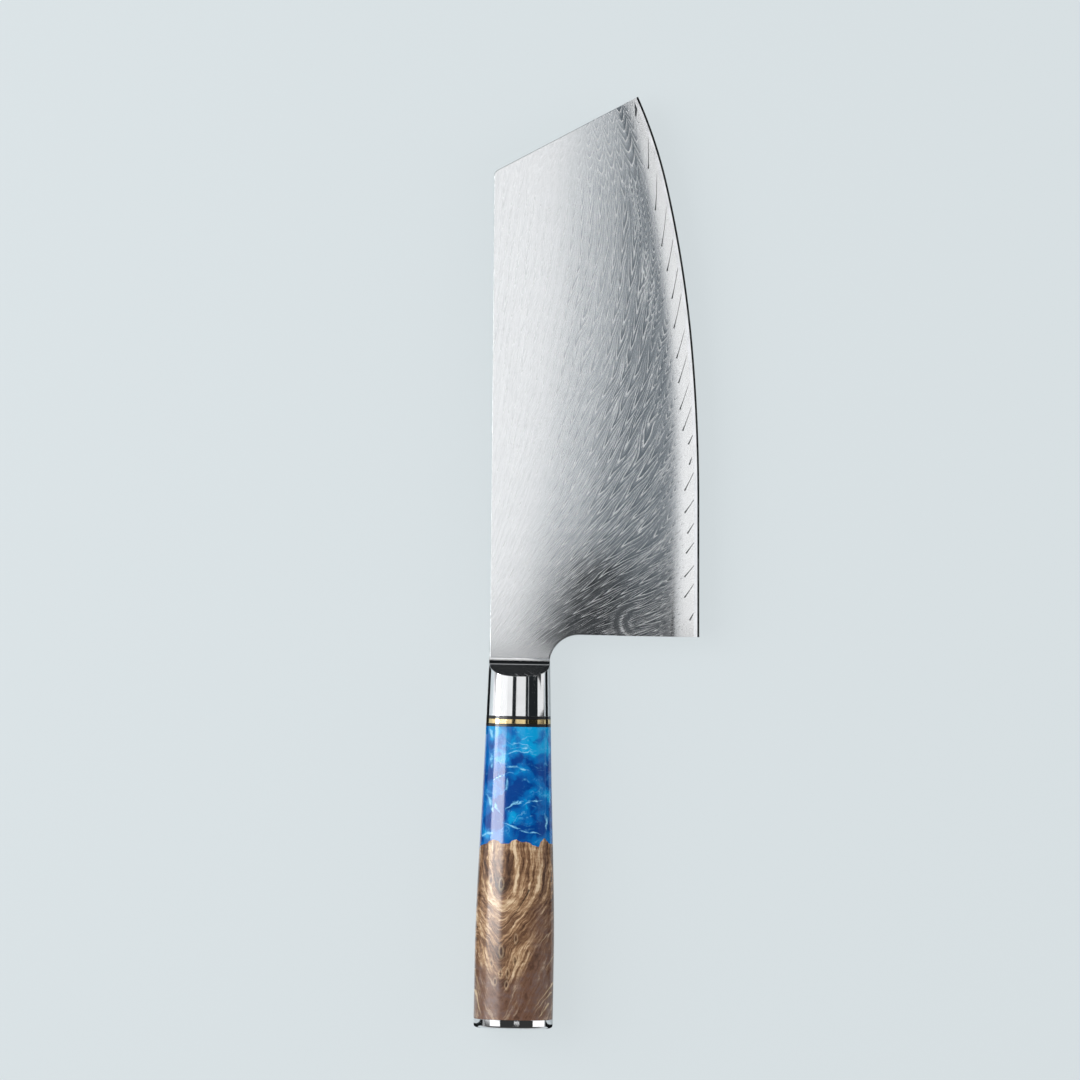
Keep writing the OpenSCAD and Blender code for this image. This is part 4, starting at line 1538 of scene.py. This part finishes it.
@dataclass
class Handle:
    """The handle's stack: bolster, three liners, resin, burl and end cap.

    Width and thickness stand in pairs. The joint's trace is given by angle round the handle and
    how far behind the joint's start it lies. Bores are given by diameter and depth.
    """

    axes: HandleAxes
    front: Point = (20.4, 17.5)
    waist: Point = (22.6, 19.4)
    butt: Point = (26.4, 22.8)
    taper_length: float = 36.0
    swell_length: float = 62.0
    oval_power: float = 2.6
    facets: int = 192
    rod_facets: int = 48
    bolster_length: float = 17.6
    bolster_extra: float = 2.5
    nose_length: float = 4.3
    nose_fillet: float = 3.0
    nose_lip: float = 0.1
    nose_steps: int = 16
    clearance: float = 0.05
    cutter_reach: float = 14.0
    cutter_back: float = 25.0
    tang_slot: Point = (10.1, 1.9)
    liner_places: tuple[float, ...] = (17.6, 18.6, 20.1, 21.1)
    joint_start: float = 59.6
    joint_zone: float = 3.12
    joint_trace: tuple[Point, ...] = (
        (0, 0.6), (6.5, 0.47), (28.9, 0.29), (37.6, -0.63), (44.1, -1.59), (52.6, -0.6),
        (58.4, 1.32), (69.2, 0.79), (74, 0.04), (79.1, -0.31), (85, -0.21), (87.5, -0.47),
        (90.1, -1.11), (93.4, -0.62), (96.8, 0.36), (108.3, 0.41), (114, -0.54),
        (122.9, -0.88), (129.3, -0.49), (140.2, 0.6), (156.4, 1.1), (173.5, 2.2), (181, 2.4),
        (195, 1.44), (210, 0.24), (225, -0.96), (240, -0.48), (255, 0.96), (270, 1.44),
        (285, 0), (300, -1.2), (315, -0.72), (330, 0.48), (345, 0.96), (360, 0.6)
    )
    cap_start: float = 118.6
    cap_thickness: float = 3.0
    cap_dome: float = 0.4
    rim_radius: float = 0.9
    rim_steps: int = 10
    dome_steps: int = 15
    spigot: Point = (10.0, 2.5)
    spigot_root: float = 1.5
    tang_bore: Point = (11.96, 27.0)
    rod_bore: float = 5.4
    rod_bore_ends: Point = (54.0, 64.0)
    bore_overlap: float = 7.0
    nut_bore: Point = (10.1, 9.3)
    seam: float = 0.04
    bolster_seam: float = 0.09

    def half(self, place: float, side: int) -> float:
        """Half the width or thickness of the handle at a place.

        Args:
            place: distance behind the front of the bolster.
            side: 0 for the width, 1 for the thickness.

        Returns:
            The half size.
        """
        front, waist, butt = self.front[side], self.waist[side], self.butt[side]
        if place <= self.taper_length:
            return (front + (waist - front) * place / self.taper_length) / 2
        t = min((place - self.taper_length) / self.swell_length, 1.0)
        slope = (waist - front) * self.swell_length / self.taper_length
        return (waist * (2 * t**3 - 3 * t**2 + 1) + slope * (t**3 - 2 * t**2 + t)
                + butt * (3 * t**2 - 2 * t**3)) / 2

    def _bent(self, value: float) -> float:
        """A sine or cosine bent to the squareness of the oval."""
        return math.copysign(abs(value) ** (2 / self.oval_power), value)

    def _skin(self, place: float, angle: float, inset: float = 0.0, back: float = 0.0) -> Vector:
        """A point of the handle's skin at a place and an angle."""
        return self.axes.at(
            (self.half(place, 0) - inset) * self._bent(math.cos(angle)), -place - back,
            (self.half(place, 1) - inset) * self._bent(math.sin(angle))
        )

    def _loft(self, *stations: Sequence[float]) -> Workpiece:
        """Draw a body out from one oval section to the next.

        Args:
            stations: place of each section, with its inset and setback where it has them.

        Returns:
            The closed body.
        """
        sections = [(*station, 0.0, 0.0)[:3] for station in stations]
        place, inset, back = sections[0]
        body = Workpiece.outline([
            self._skin(place, math.tau * k / self.facets, inset, back) for k in range(self.facets)
        ])
        body.edit_all()
        for (p0, i0, b0), (p1, i1, b1) in zip(sections, sections[1:]):
            body.extrude(Vector((0, (p0 + b0 - p1 - b1) * MM, 0)))
            wider, thicker = ((self.half(p1, side) - i1) / (self.half(p0, side) - i0) for side in (0, 1))
            body.stretch(wider, thicker, self.axes.at(0, -p1 - b1))
        body.rest()
        return body

    @staticmethod
    def _steps(start: float, end: float, count: int) -> list[tuple[float]]:
        """Plain sections at even places."""
        return [(start + (end - start) * k / count,) for k in range(count + 1)]

    def _ease_ends(self, body: Workpiece, *places: float) -> None:
        """Break the rims at some places along the handle by the seam's width.

        Args:
            body: the body.
            places: distances behind the front of the bolster.
        """
        levels = [self.axes.at(0, -place).y for place in places]
        body.edit_some("EDGE", lambda edge: any(
            all(abs(end.y - level) < TOUCH for end in body.ends(edge)) for level in levels
        ))
        body.bevel(self.seam, 2)
        body.rest()

    def _rod(self, diameter: float, start: float, end: float) -> Workpiece:
        """A round bar along the handle between two places, as a cutter or a spigot."""
        ring = arc((0, 0), diameter / 2, 0, math.tau, self.rod_facets)[:-1]
        return Workpiece.bar([self.axes.at(x, -start, z) for x, z in ring],
                             Vector((0, (start - end) * MM, 0)))

    def _cut_tang_slot(self, body: Workpiece, start: float, end: float) -> None:
        """Cut the slot for the tang between two places."""
        x, z = self.tang_slot[0] / 2, self.tang_slot[1] / 2
        body.combine(Workpiece.block(self.axes.at(-x, -end, -z), self.axes.at(x, -start, z)),
                     "DIFFERENCE")

    def _wave(self, angle: float) -> float:
        """Place of the wavy joint at an angle round the handle."""
        turn = math.degrees(angle) % 360
        for (a0, w0), (a1, w1) in zip(self.joint_trace, self.joint_trace[1:]):
            if turn <= a1:
                blend = (1 - math.cos(math.pi * (turn - a0) / (a1 - a0))) / 2
                return self.joint_start + w0 + (w1 - w0) * blend
        return self.joint_start + self.joint_trace[-1][1]

    def _on_joint(self, co: Vector) -> Vector:
        """Lay a corner of the oval section at the joint's start on the wavy joint.

        Args:
            co: the corner in the frame.

        Returns:
            Its new place.
        """
        away = co - self.axes.origin
        u = away.x / (self.half(self.joint_start, 0) * MM)
        v = away.z / (self.half(self.joint_start, 1) * MM)
        power = self.oval_power / 2
        angle = math.atan2(math.copysign(abs(v) ** power, v), math.copysign(abs(u) ** power, u))
        angle %= math.tau
        return self._skin(self._wave(angle), angle)

    def _wave_end(self, body: Workpiece) -> None:
        """Close the body's end at the joint to a point, and lay its rim on the wavy joint."""
        centre = self.axes.at(0, -self.joint_start)
        body.edit_some("FACE", lambda face: (
            len(face.vertices) > 4 and abs(face.center.y - centre.y) < TOUCH
        ))
        bpy.ops.mesh.poke()
        body.rest()
        for vertex in body.obj.data.vertices:
            if (vertex.co - centre).length < 10 * TOUCH:
                vertex.co = centre
            elif abs(vertex.co.y - centre.y) <= TOUCH:
                vertex.co = self._on_joint(vertex.co.copy())
        body.obj.data.update()

    def _nose(self) -> Workpiece:
        """What the bolster's slanted, filleted nose is cut from.

        Returns:
            A bar across the handle with the nose's side view.
        """
        foot, top = Blade.spine_thickness / 2, self.cutter_reach
        angle = math.atan2(self.half(self.nose_length, 1) - foot, self.nose_length)
        reach = self.nose_fillet * math.tan(angle / 2)
        side = [(-self.cutter_back, top), ((foot - top) / math.tan(angle), top)]
        for k in range(self.nose_steps + 1):
            share = k / self.nose_steps
            a = angle * (1 - share)
            side.append((reach - self.nose_fillet * math.sin(a),
                         foot + self.nose_lip * share + self.nose_fillet * (1 - math.cos(a))))
        side += [(y, -z) for y, z in reversed(side)]
        return Workpiece.bar([self.axes.at(-self.cutter_reach, y, z) for y, z in side],
                             Vector((2 * self.cutter_reach * MM, 0, 0)))

    def bolster(self, steel: Material) -> None:
        """Turn the bolster with its slanted, filleted nose and the neck's slot.

        Args:
            steel: its material.
        """
        body = self._loft((-self.bolster_extra,), (self.bolster_length,))
        body.combine(self._nose(), "INTERSECT")
        slot = Blade.seat_thickness / 2 + self.clearance
        body.combine(Workpiece.block(
            self.axes.at(-self.cutter_reach, -Blade.seat_depth, -slot),
            self.axes.at(self.cutter_reach, self.cutter_back, slot)
        ), "DIFFERENCE")
        self._cut_tang_slot(body, 0, self.bolster_length + self.bolster_extra)
        body.tidy()
        body.apply("BEVEL", limit_method="ANGLE", angle_limit=math.radians(24),
                   width=self.bolster_seam * MM, segments=2, use_clamp_overlap=False)
        body.smooth(50)
        body.settle("bolster_polished", steel, "bolster", Slot.POLISHED)

    def liners(self, fibre: Material, brass: Material) -> None:
        """Stack the black, brass and black liners.

        Args:
            fibre: material of the two black liners.
            brass: material of the middle one.
        """
        for name, node, slot, look, start, end in (
            ("liner_black_front", "front_liner", Slot.FIBRE, fibre, *self.liner_places[0:2]),
            ("liner_brass", "brass_liner", Slot.BRASS, brass, *self.liner_places[1:3]),
            ("liner_black_rear", "rear_liner", Slot.FIBRE, fibre, *self.liner_places[2:4]),
        ):
            body = self._loft((start,), (end,))
            self._ease_ends(body, start, end)
            self._cut_tang_slot(body, start - 1, end + 1)
            body.smooth(20)
            body.settle(name, look, node, slot)

    def resin(self, look: Material) -> None:
        """Cast the resin section up to the wavy joint, with the bores for tang and rod.

        Args:
            look: its material.
        """
        start = self.liner_places[-1]
        diameter, depth = self.tang_bore
        body = self._loft(*self._steps(start, self.joint_start - self.joint_zone, 14),
                          (self.joint_start,))
        self._wave_end(body)
        self._ease_ends(body, start)
        body.combine(self._rod(diameter, start - 1, start + depth), "DIFFERENCE")
        body.combine(self._rod(self.rod_bore, start + depth - self.bore_overlap,
                               self.rod_bore_ends[1]), "DIFFERENCE")
        body.smooth(50)
        body.settle("grip_resin", look, "resin_section", Slot.RESIN)

    def burl(self, look: Material) -> None:
        """Turn the burl section from the wavy joint to the cap, with the bores for rod and nut.

        Args:
            look: its material.
        """
        end = self.cap_start
        diameter, depth = self.nut_bore
        body = self._loft((self.joint_start,),
                          *self._steps(self.joint_start + self.joint_zone, end, 22))
        self._wave_end(body)
        self._ease_ends(body, end)
        body.combine(self._rod(self.rod_bore, self.rod_bore_ends[0], end), "DIFFERENCE")
        body.combine(self._rod(diameter, end - depth, end + 1), "DIFFERENCE")
        body.smooth(50)
        body.settle("grip_burl", look, "burl_section", Slot.BURL)

    def cap(self, steel: Material) -> None:
        """Turn the domed end cap with its rounded rim and spigot.

        Args:
            steel: its material.
        """
        rim, radius = self.cap_start + self.cap_thickness - self.rim_radius, self.rim_radius
        span = self.half(self.cap_start, 1) - radius
        rounds = [math.pi / 2 * k / self.rim_steps for k in range(1, self.rim_steps + 1)]
        shares = [k / self.dome_steps for k in range(1, self.dome_steps)]
        body = self._loft(
            (self.cap_start,), (rim,),
            *((rim, radius * (1 - math.cos(a)), radius * math.sin(a)) for a in rounds),
            *((rim, radius + span * t, radius + self.cap_dome * (1 - (1 - t) ** 2)) for t in shares)
        )
        self._ease_ends(body, self.cap_start)
        diameter, length = self.spigot
        body.combine(self._rod(diameter, self.cap_start - length, self.cap_start + self.spigot_root),
                     "UNION")
        body.smooth(20)
        body.settle("end_cap_polished", steel, "end_cap", Slot.POLISHED)


@dataclass(frozen=True)
class Card:
    """A reflector or flag that is seen only in the knife's shine, in millimetres.

    Light 1 is plain white. It rises from the share fade[2] at y = fade[0] to all at y = fade[1].
    """

    name: str
    corners: tuple[tuple[float, float, float], ...]
    light: float
    fade: tuple[float, float, float] | None = None

    @classmethod
    def level(cls, name: str, outline: Sequence[Point], z: float, light: float,
              fade: tuple[float, float, float] | None = None) -> "Card":
        """A level card."""
        return cls(name, tuple((x, y, z) for x, y in outline), light, fade)

    @classmethod
    def upright(cls, name: str, start: Point, end: Point, heights: Point, light: float) -> "Card":
        """A card that stands on a line."""
        low, high = heights
        return cls(name, ((*start, low), (*end, low), (*end, high), (*start, high)), light)


def oblong(x0: float, x1: float, y0: float, y1: float) -> tuple[Point, ...]:
    """Corners of an oblong between two sides and two ends."""
    return (x0, y0), (x1, y0), (x1, y1), (x0, y1)


def between(left: Sequence[Point], right: Sequence[Point]) -> tuple[Point, ...]:
    """Corners of the strip between two drawn lines that run the same way."""
    return (*right, *reversed(left))


def moved(line: Sequence[Point], by: float) -> tuple[Point, ...]:
    """A line moved sideways by so many millimetres."""
    return tuple((x + by, y) for x, y in line)


# Lines over the blade, in whose shine the cards meet
LINE_SPINE = ((-230, 2.5), (-230, 235))
LINE_SHADE = ((9, 2.5), (13, 20), (16, 48), (20, 80), (23.5, 121), (23.5, 160), (26, 190), (30, 235))
LINE_BEVEL = ((66, 2.5), (66.5, 56), (66, 103), (63, 145), (59, 176), (57, 197), (52, 235))
LINE_EDGE = ((110, 2.5), (109, 56), (105, 103), (98, 145), (91, 176), (84, 197), (73, 235))
LINE_OUTER = ((330, 2.5), (330, 235))
LINE_NECK = ((1, 2.5), (12, 14), (19, 36))
LINE_CHOIL = ((34, 2.5), (37, 14), (35, 36))
SHADE_START, SHADE_END = moved(LINE_SHADE, -9), moved(LINE_SHADE, 8)

# Heights of the cards over the blade, over the handle and on the floor
OVER_BLADE = 130
OVER_HANDLE = 280
ON_FLOOR = -11.2

# Light of the darkest cards and of the flags
BLACK = 0.01
NEAR_BLACK = 0.02


@dataclass
class Studio:
    """Plain soft studio: pale floor, two soft boxes, a lit room and cards for the shine."""

    axes: HandleAxes
    backdrop: Colour = shade(217, 225, 228)
    backdrop_share: float = 0.84
    floor_reach: float = 4.0
    floor_drop: float = 0.0001
    camera_height: float = 2600.0
    sensor: float = 36.0
    view_width: float = 360.5
    view_centre: Point = (6.1, 41.17)
    lean: float = 1.03
    room: float = 0.5
    room_colour: Colour = (0.97, 0.99, 1.0)
    card_colour: Colour = (0.99, 0.995, 1.0)
    shaded_colour: Colour = (0.93, 0.975, 1.01)
    flag_colour: Colour = (0.8, 0.93, 1.04)
    louvres: int = 22
    louvre_first: float = 16.0
    louvre_gap: float = 10.0
    louvre_heights: Point = (115.5, 128.0)
    cards: tuple[Card, ...] = (
        Card.level("card_over_spine", between(LINE_SPINE, SHADE_START), OVER_BLADE, 1.2),
        Card.level("card_shaded", between(SHADE_START, SHADE_END), OVER_BLADE, 0.75, (6, 60, 0.55)),
        Card.level("flag_over_blade", between(SHADE_END, LINE_BEVEL), OVER_BLADE, 0.25, (6, 52, 0.3)),
        Card.level("card_over_bevel", between(LINE_BEVEL, LINE_EDGE), OVER_BLADE, 1.25),
        Card.level("flag_over_edge", between(LINE_EDGE, LINE_OUTER), OVER_BLADE, BLACK),
        Card.level("flag_choil", between(LINE_NECK, LINE_CHOIL), OVER_BLADE - 1, 0.03),
        *(Card.level(name, oblong(x0, x1, y0, 13), OVER_HANDLE, light)
          for name, x0, x1, y0, light in (
              ("card_bright", -330, -107, -17, 1.1), ("card_white", -107, -39, -17, 0.98),
              ("flag_left", -39, -10, -17, NEAR_BLACK), ("card_middle", -10, 43, -17, 0.92),
              ("flag_middle", 43, 72, -17, NEAR_BLACK), ("card_thin", 72, 79, -17, 0.5),
              ("flag_right", 79, 330, -90, NEAR_BLACK))),
        Card.level("cap_dark_left", ((-15, -134), (-15, -121), (-300, -134), (-300, -150)),
                   ON_FLOOR, BLACK),
        Card.level("cap_dark_right", ((15, -121), (15, -134), (400, -160), (400, -139)),
                   ON_FLOOR, BLACK),
        Card.upright("cap_wall_left", (-300, -150), (-300, -132), (ON_FLOOR, 52), BLACK),
        Card.upright("cap_wall_right", (420, -160), (420, -139), (20, OVER_HANDLE), 1.3),
        Card.level("cap_card_left", oblong(-300, -88, -150, -136.5), OVER_HANDLE, 1.3),
        Card.level("cap_card_middle", oblong(2, 26, -138, -136.5), OVER_HANDLE, 1.3),
        Card.level("cap_card_right", oblong(197, 420, -160, -137), OVER_HANDLE, 1.3),
        Card("box_left", ((-340, -200, 888), (-881, -200, 356), (-881, 200, 356), (-340, 200, 888)),
             12.0, (-190, -70, 0.0)),
        Card("wall_left", ((-900, -150, 0), (-900, -150, 356), (-900, 20, 356), (-900, 20, 0)), 1.1),
        Card("box_right", ((700, -250, 620), (930, -250, -1), (930, 200, -1), (700, 200, 620)), 1.05,
             (0, 30, 0.06)),
        # Painted shadow: dark sheets on the floor beside the handle, seen only in the shine, stand in
        # for the floor's shade there
        Card.level("painted_floor_shadow_left", oblong(-33, -14, -24, 5), ON_FLOOR, BLACK),
        Card.level("painted_floor_shadow_right", oblong(32, 110, -24, 5), ON_FLOOR, BLACK),
        Card.upright("wall_right", (300, -9), (300, 16), (30, 270), 0.91),
        Card.level("painted_floor_shadow_grip_left", ((-60, -30), (-22, -24), (-22, -110), (-60, -116)),
                   ON_FLOOR, 0.04),
        Card.level("painted_floor_shadow_grip_right", ((32, -24), (300, -48), (300, -128), (32, -110)),
                   ON_FLOOR, 0.04),
        Card.upright("flag_past_tip", (-500, 700), (500, 700), (60, 900), NEAR_BLACK),
    )

    def _louvres(self) -> list[Card]:
        """Black louvres that keep the blade's cards out of the bolster's nose."""
        places = (self.louvre_first + self.louvre_gap * n for n in range(self.louvres))
        (left, _), (right, _) = LINE_SPINE[0], LINE_OUTER[0]
        return [Card.upright(f"louvre_{n}", (left, y), (right, y), self.louvre_heights, BLACK)
                for n, y in enumerate(places)]

    def _glow(self, card: Card) -> Material:
        """A plain lit material for a card.

        Args:
            card: the card.

        Returns:
            Its material.
        """
        material = bpy.data.materials.new(card.name)
        g = Graph.of(material)
        tint = self.card_colour if card.light > 0.9 else self.shaded_colour
        if card.light < 0.5:
            tint = self.flag_colour
        glow = g.plain("Emission", tint, strength=card.light)
        if card.fade:
            _, y, _ = g.split(g.add("TexCoord").outputs["Object"])
            start, end, share = card.fade
            ends = (self.axes.at(0, start).y, self.axes.at(0, end).y)
            g.feed(glow.inputs["Strength"], g.spread(y, *ends, card.light * share, card.light))
        g.show(glow)
        return material

    def hang_cards(self) -> None:
        """Hang every card where only reflections show it."""
        for card in (*self.cards, *self._louvres()):
            panel = Workpiece.outline([self.axes.at(*corner) for corner in card.corners])
            panel.finish(card.name, self._glow(card))
            for ray in ("camera", "diffuse", "transmission", "volume_scatter", "shadow"):
                setattr(panel.obj, "visible_" + ray, False)
        log.info("studio: %d cards hung", len(self.cards) + self.louvres)

    def floor(self) -> None:
        """Lay the pale floor, which keeps the knife's soft shadow."""
        far = self.floor_reach
        ground = Workpiece.outline([
            Vector((x, y, -self.floor_drop)) for x, y in oblong(-far, far, -far, far)
        ])
        material = bpy.data.materials.new("pale_floor")
        g = Graph.of(material)
        seen = g.times(g.add("LightPath").outputs["Is Camera Ray"], self.backdrop_share)
        matt, glow = (g.plain(kind, self.backdrop) for kind in ("BsdfDiffuse", "Emission"))
        g.show(g.blend(seen, matt, glow))
        ground.finish("floor", material)

    def world(self) -> None:
        """Light the room softly, with the backdrop's colour behind the knife."""
        world = bpy.data.worlds.new("room")
        bpy.context.scene.world = world
        g = Graph.of(world)
        rays = g.add("LightPath").outputs
        seen = g.greater(rays["Is Camera Ray"], rays["Is Transmission Ray"])
        shine = rays["Is Glossy Ray"]
        _, _, up = g.split(g.add("TexCoord").outputs["Generated"])
        level = g.times(shine, g.spread(up, 0.02, 0.6, 0.55, 0.04))
        level = g.times_plus(g.minus(1.0, shine), self.room, level)
        room = g.plain("Background", self.room_colour)
        g.feed(room.inputs["Strength"], level)
        g.show(g.blend(seen, room, g.plain("Background", self.backdrop)), "OutputWorld")

    @staticmethod
    def _soft_box(name: str, angle: float, far: float, size: Point, y: float, light: float) -> None:
        """Stand a soft box beside the knife.

        Args:
            name: its name.
            angle: its lean from upright in degrees, negative to the left.
            far: its distance in metres.
            size: its width and length in metres.
            y: where its middle is along the knife in metres.
            light: its brightness, where 1 is plain white.
        """
        data = bpy.data.lights.new(name, "AREA")
        data.shape = "RECTANGLE"
        data.size, data.size_y = size
        data.energy = light * math.pi * size[0] * size[1]
        lamp = bpy.data.objects.new(name, data)
        bpy.context.scene.collection.objects.link(lamp)
        a = math.radians(angle)
        lamp.location = (far * math.sin(a), y, far * math.cos(a))
        lamp.rotation_euler = (0, a, 0)
        lamp.visible_glossy = False

    def lamps(self) -> None:
        """Stand the large soft box on the left and the weaker one on the right."""
        self._soft_box("soft_box_left", angle=-48, far=0.9, size=(0.9, 0.62), y=0.1, light=3.6)
        self._soft_box("soft_box_right", angle=70, far=0.9, size=(0.85, 0.6), y=0.05, light=1.5)

    def camera(self) -> None:
        """Hang the camera straight above, turned by the knife's small lean."""
        data = bpy.data.cameras.new("camera_above")
        data.sensor_width = self.sensor
        data.lens = self.sensor * self.camera_height / self.view_width
        eye = bpy.data.objects.new("camera_above", data)
        bpy.context.scene.collection.objects.link(eye)
        eye.location = self.axes.at(*self.view_centre, self.camera_height)
        eye.rotation_euler = (0, 0, math.radians(self.lean))
        bpy.context.scene.camera = eye


def dress_hidden_nodes(effects: Effects, axes: HandleAxes) -> None:
    """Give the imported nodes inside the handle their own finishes.

    Args:
        effects: the shared shader groups.
        axes: the handle's axes.
    """
    turned = CoreSteel(effects, axes, colour=(0.6, 0.6, 0.62), base=0.3).make("turned_rod_steel")
    epoxy = CuredEpoxy(effects, axes).make()
    for node, look in (("tang_rod", turned), ("rod_washer", turned), ("rod_nut", turned),
                       ("tang_bedding", epoxy)):
        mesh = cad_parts[node].data
        mesh.materials.clear()
        mesh.materials.append(look)
        log.info("%s: packed node dressed in %s", node, look.name)


def main() -> None:
    """Build the knife piece by piece, then light and frame it."""
    logging.basicConfig(level=logging.INFO, format="%(name)s: %(message)s")
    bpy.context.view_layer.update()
    bpy.context.scene.view_settings.view_transform = "Standard"
    axes = HandleAxes.from_frame(Handle.bolster_length)
    effects = Effects()

    blade = Blade(axes)
    steel = BladeSteel(effects, axes, edge_points=blade.edge_points()).make()
    blade.build(steel, CoreSteel(effects, axes).make("ground_core_steel"))

    handle = Handle(axes)
    mirror = PolishedMetal(effects, axes).make("mirror_steel")
    brass = PolishedMetal(effects, axes, colour=(0.9, 0.7, 0.36), base=0.08).make("polished_brass")
    handle.bolster(mirror)
    handle.liners(BlackFibre(effects, axes).make(), brass)
    handle.resin(PearlResin(effects, axes).make())
    handle.burl(BurlWood(effects, axes).make())
    handle.cap(mirror)
    dress_hidden_nodes(effects, axes)

    studio = Studio(axes)
    studio.floor()
    studio.world()
    studio.lamps()
    studio.hang_cards()
    studio.camera()


if __name__ == "__main__":
    main()
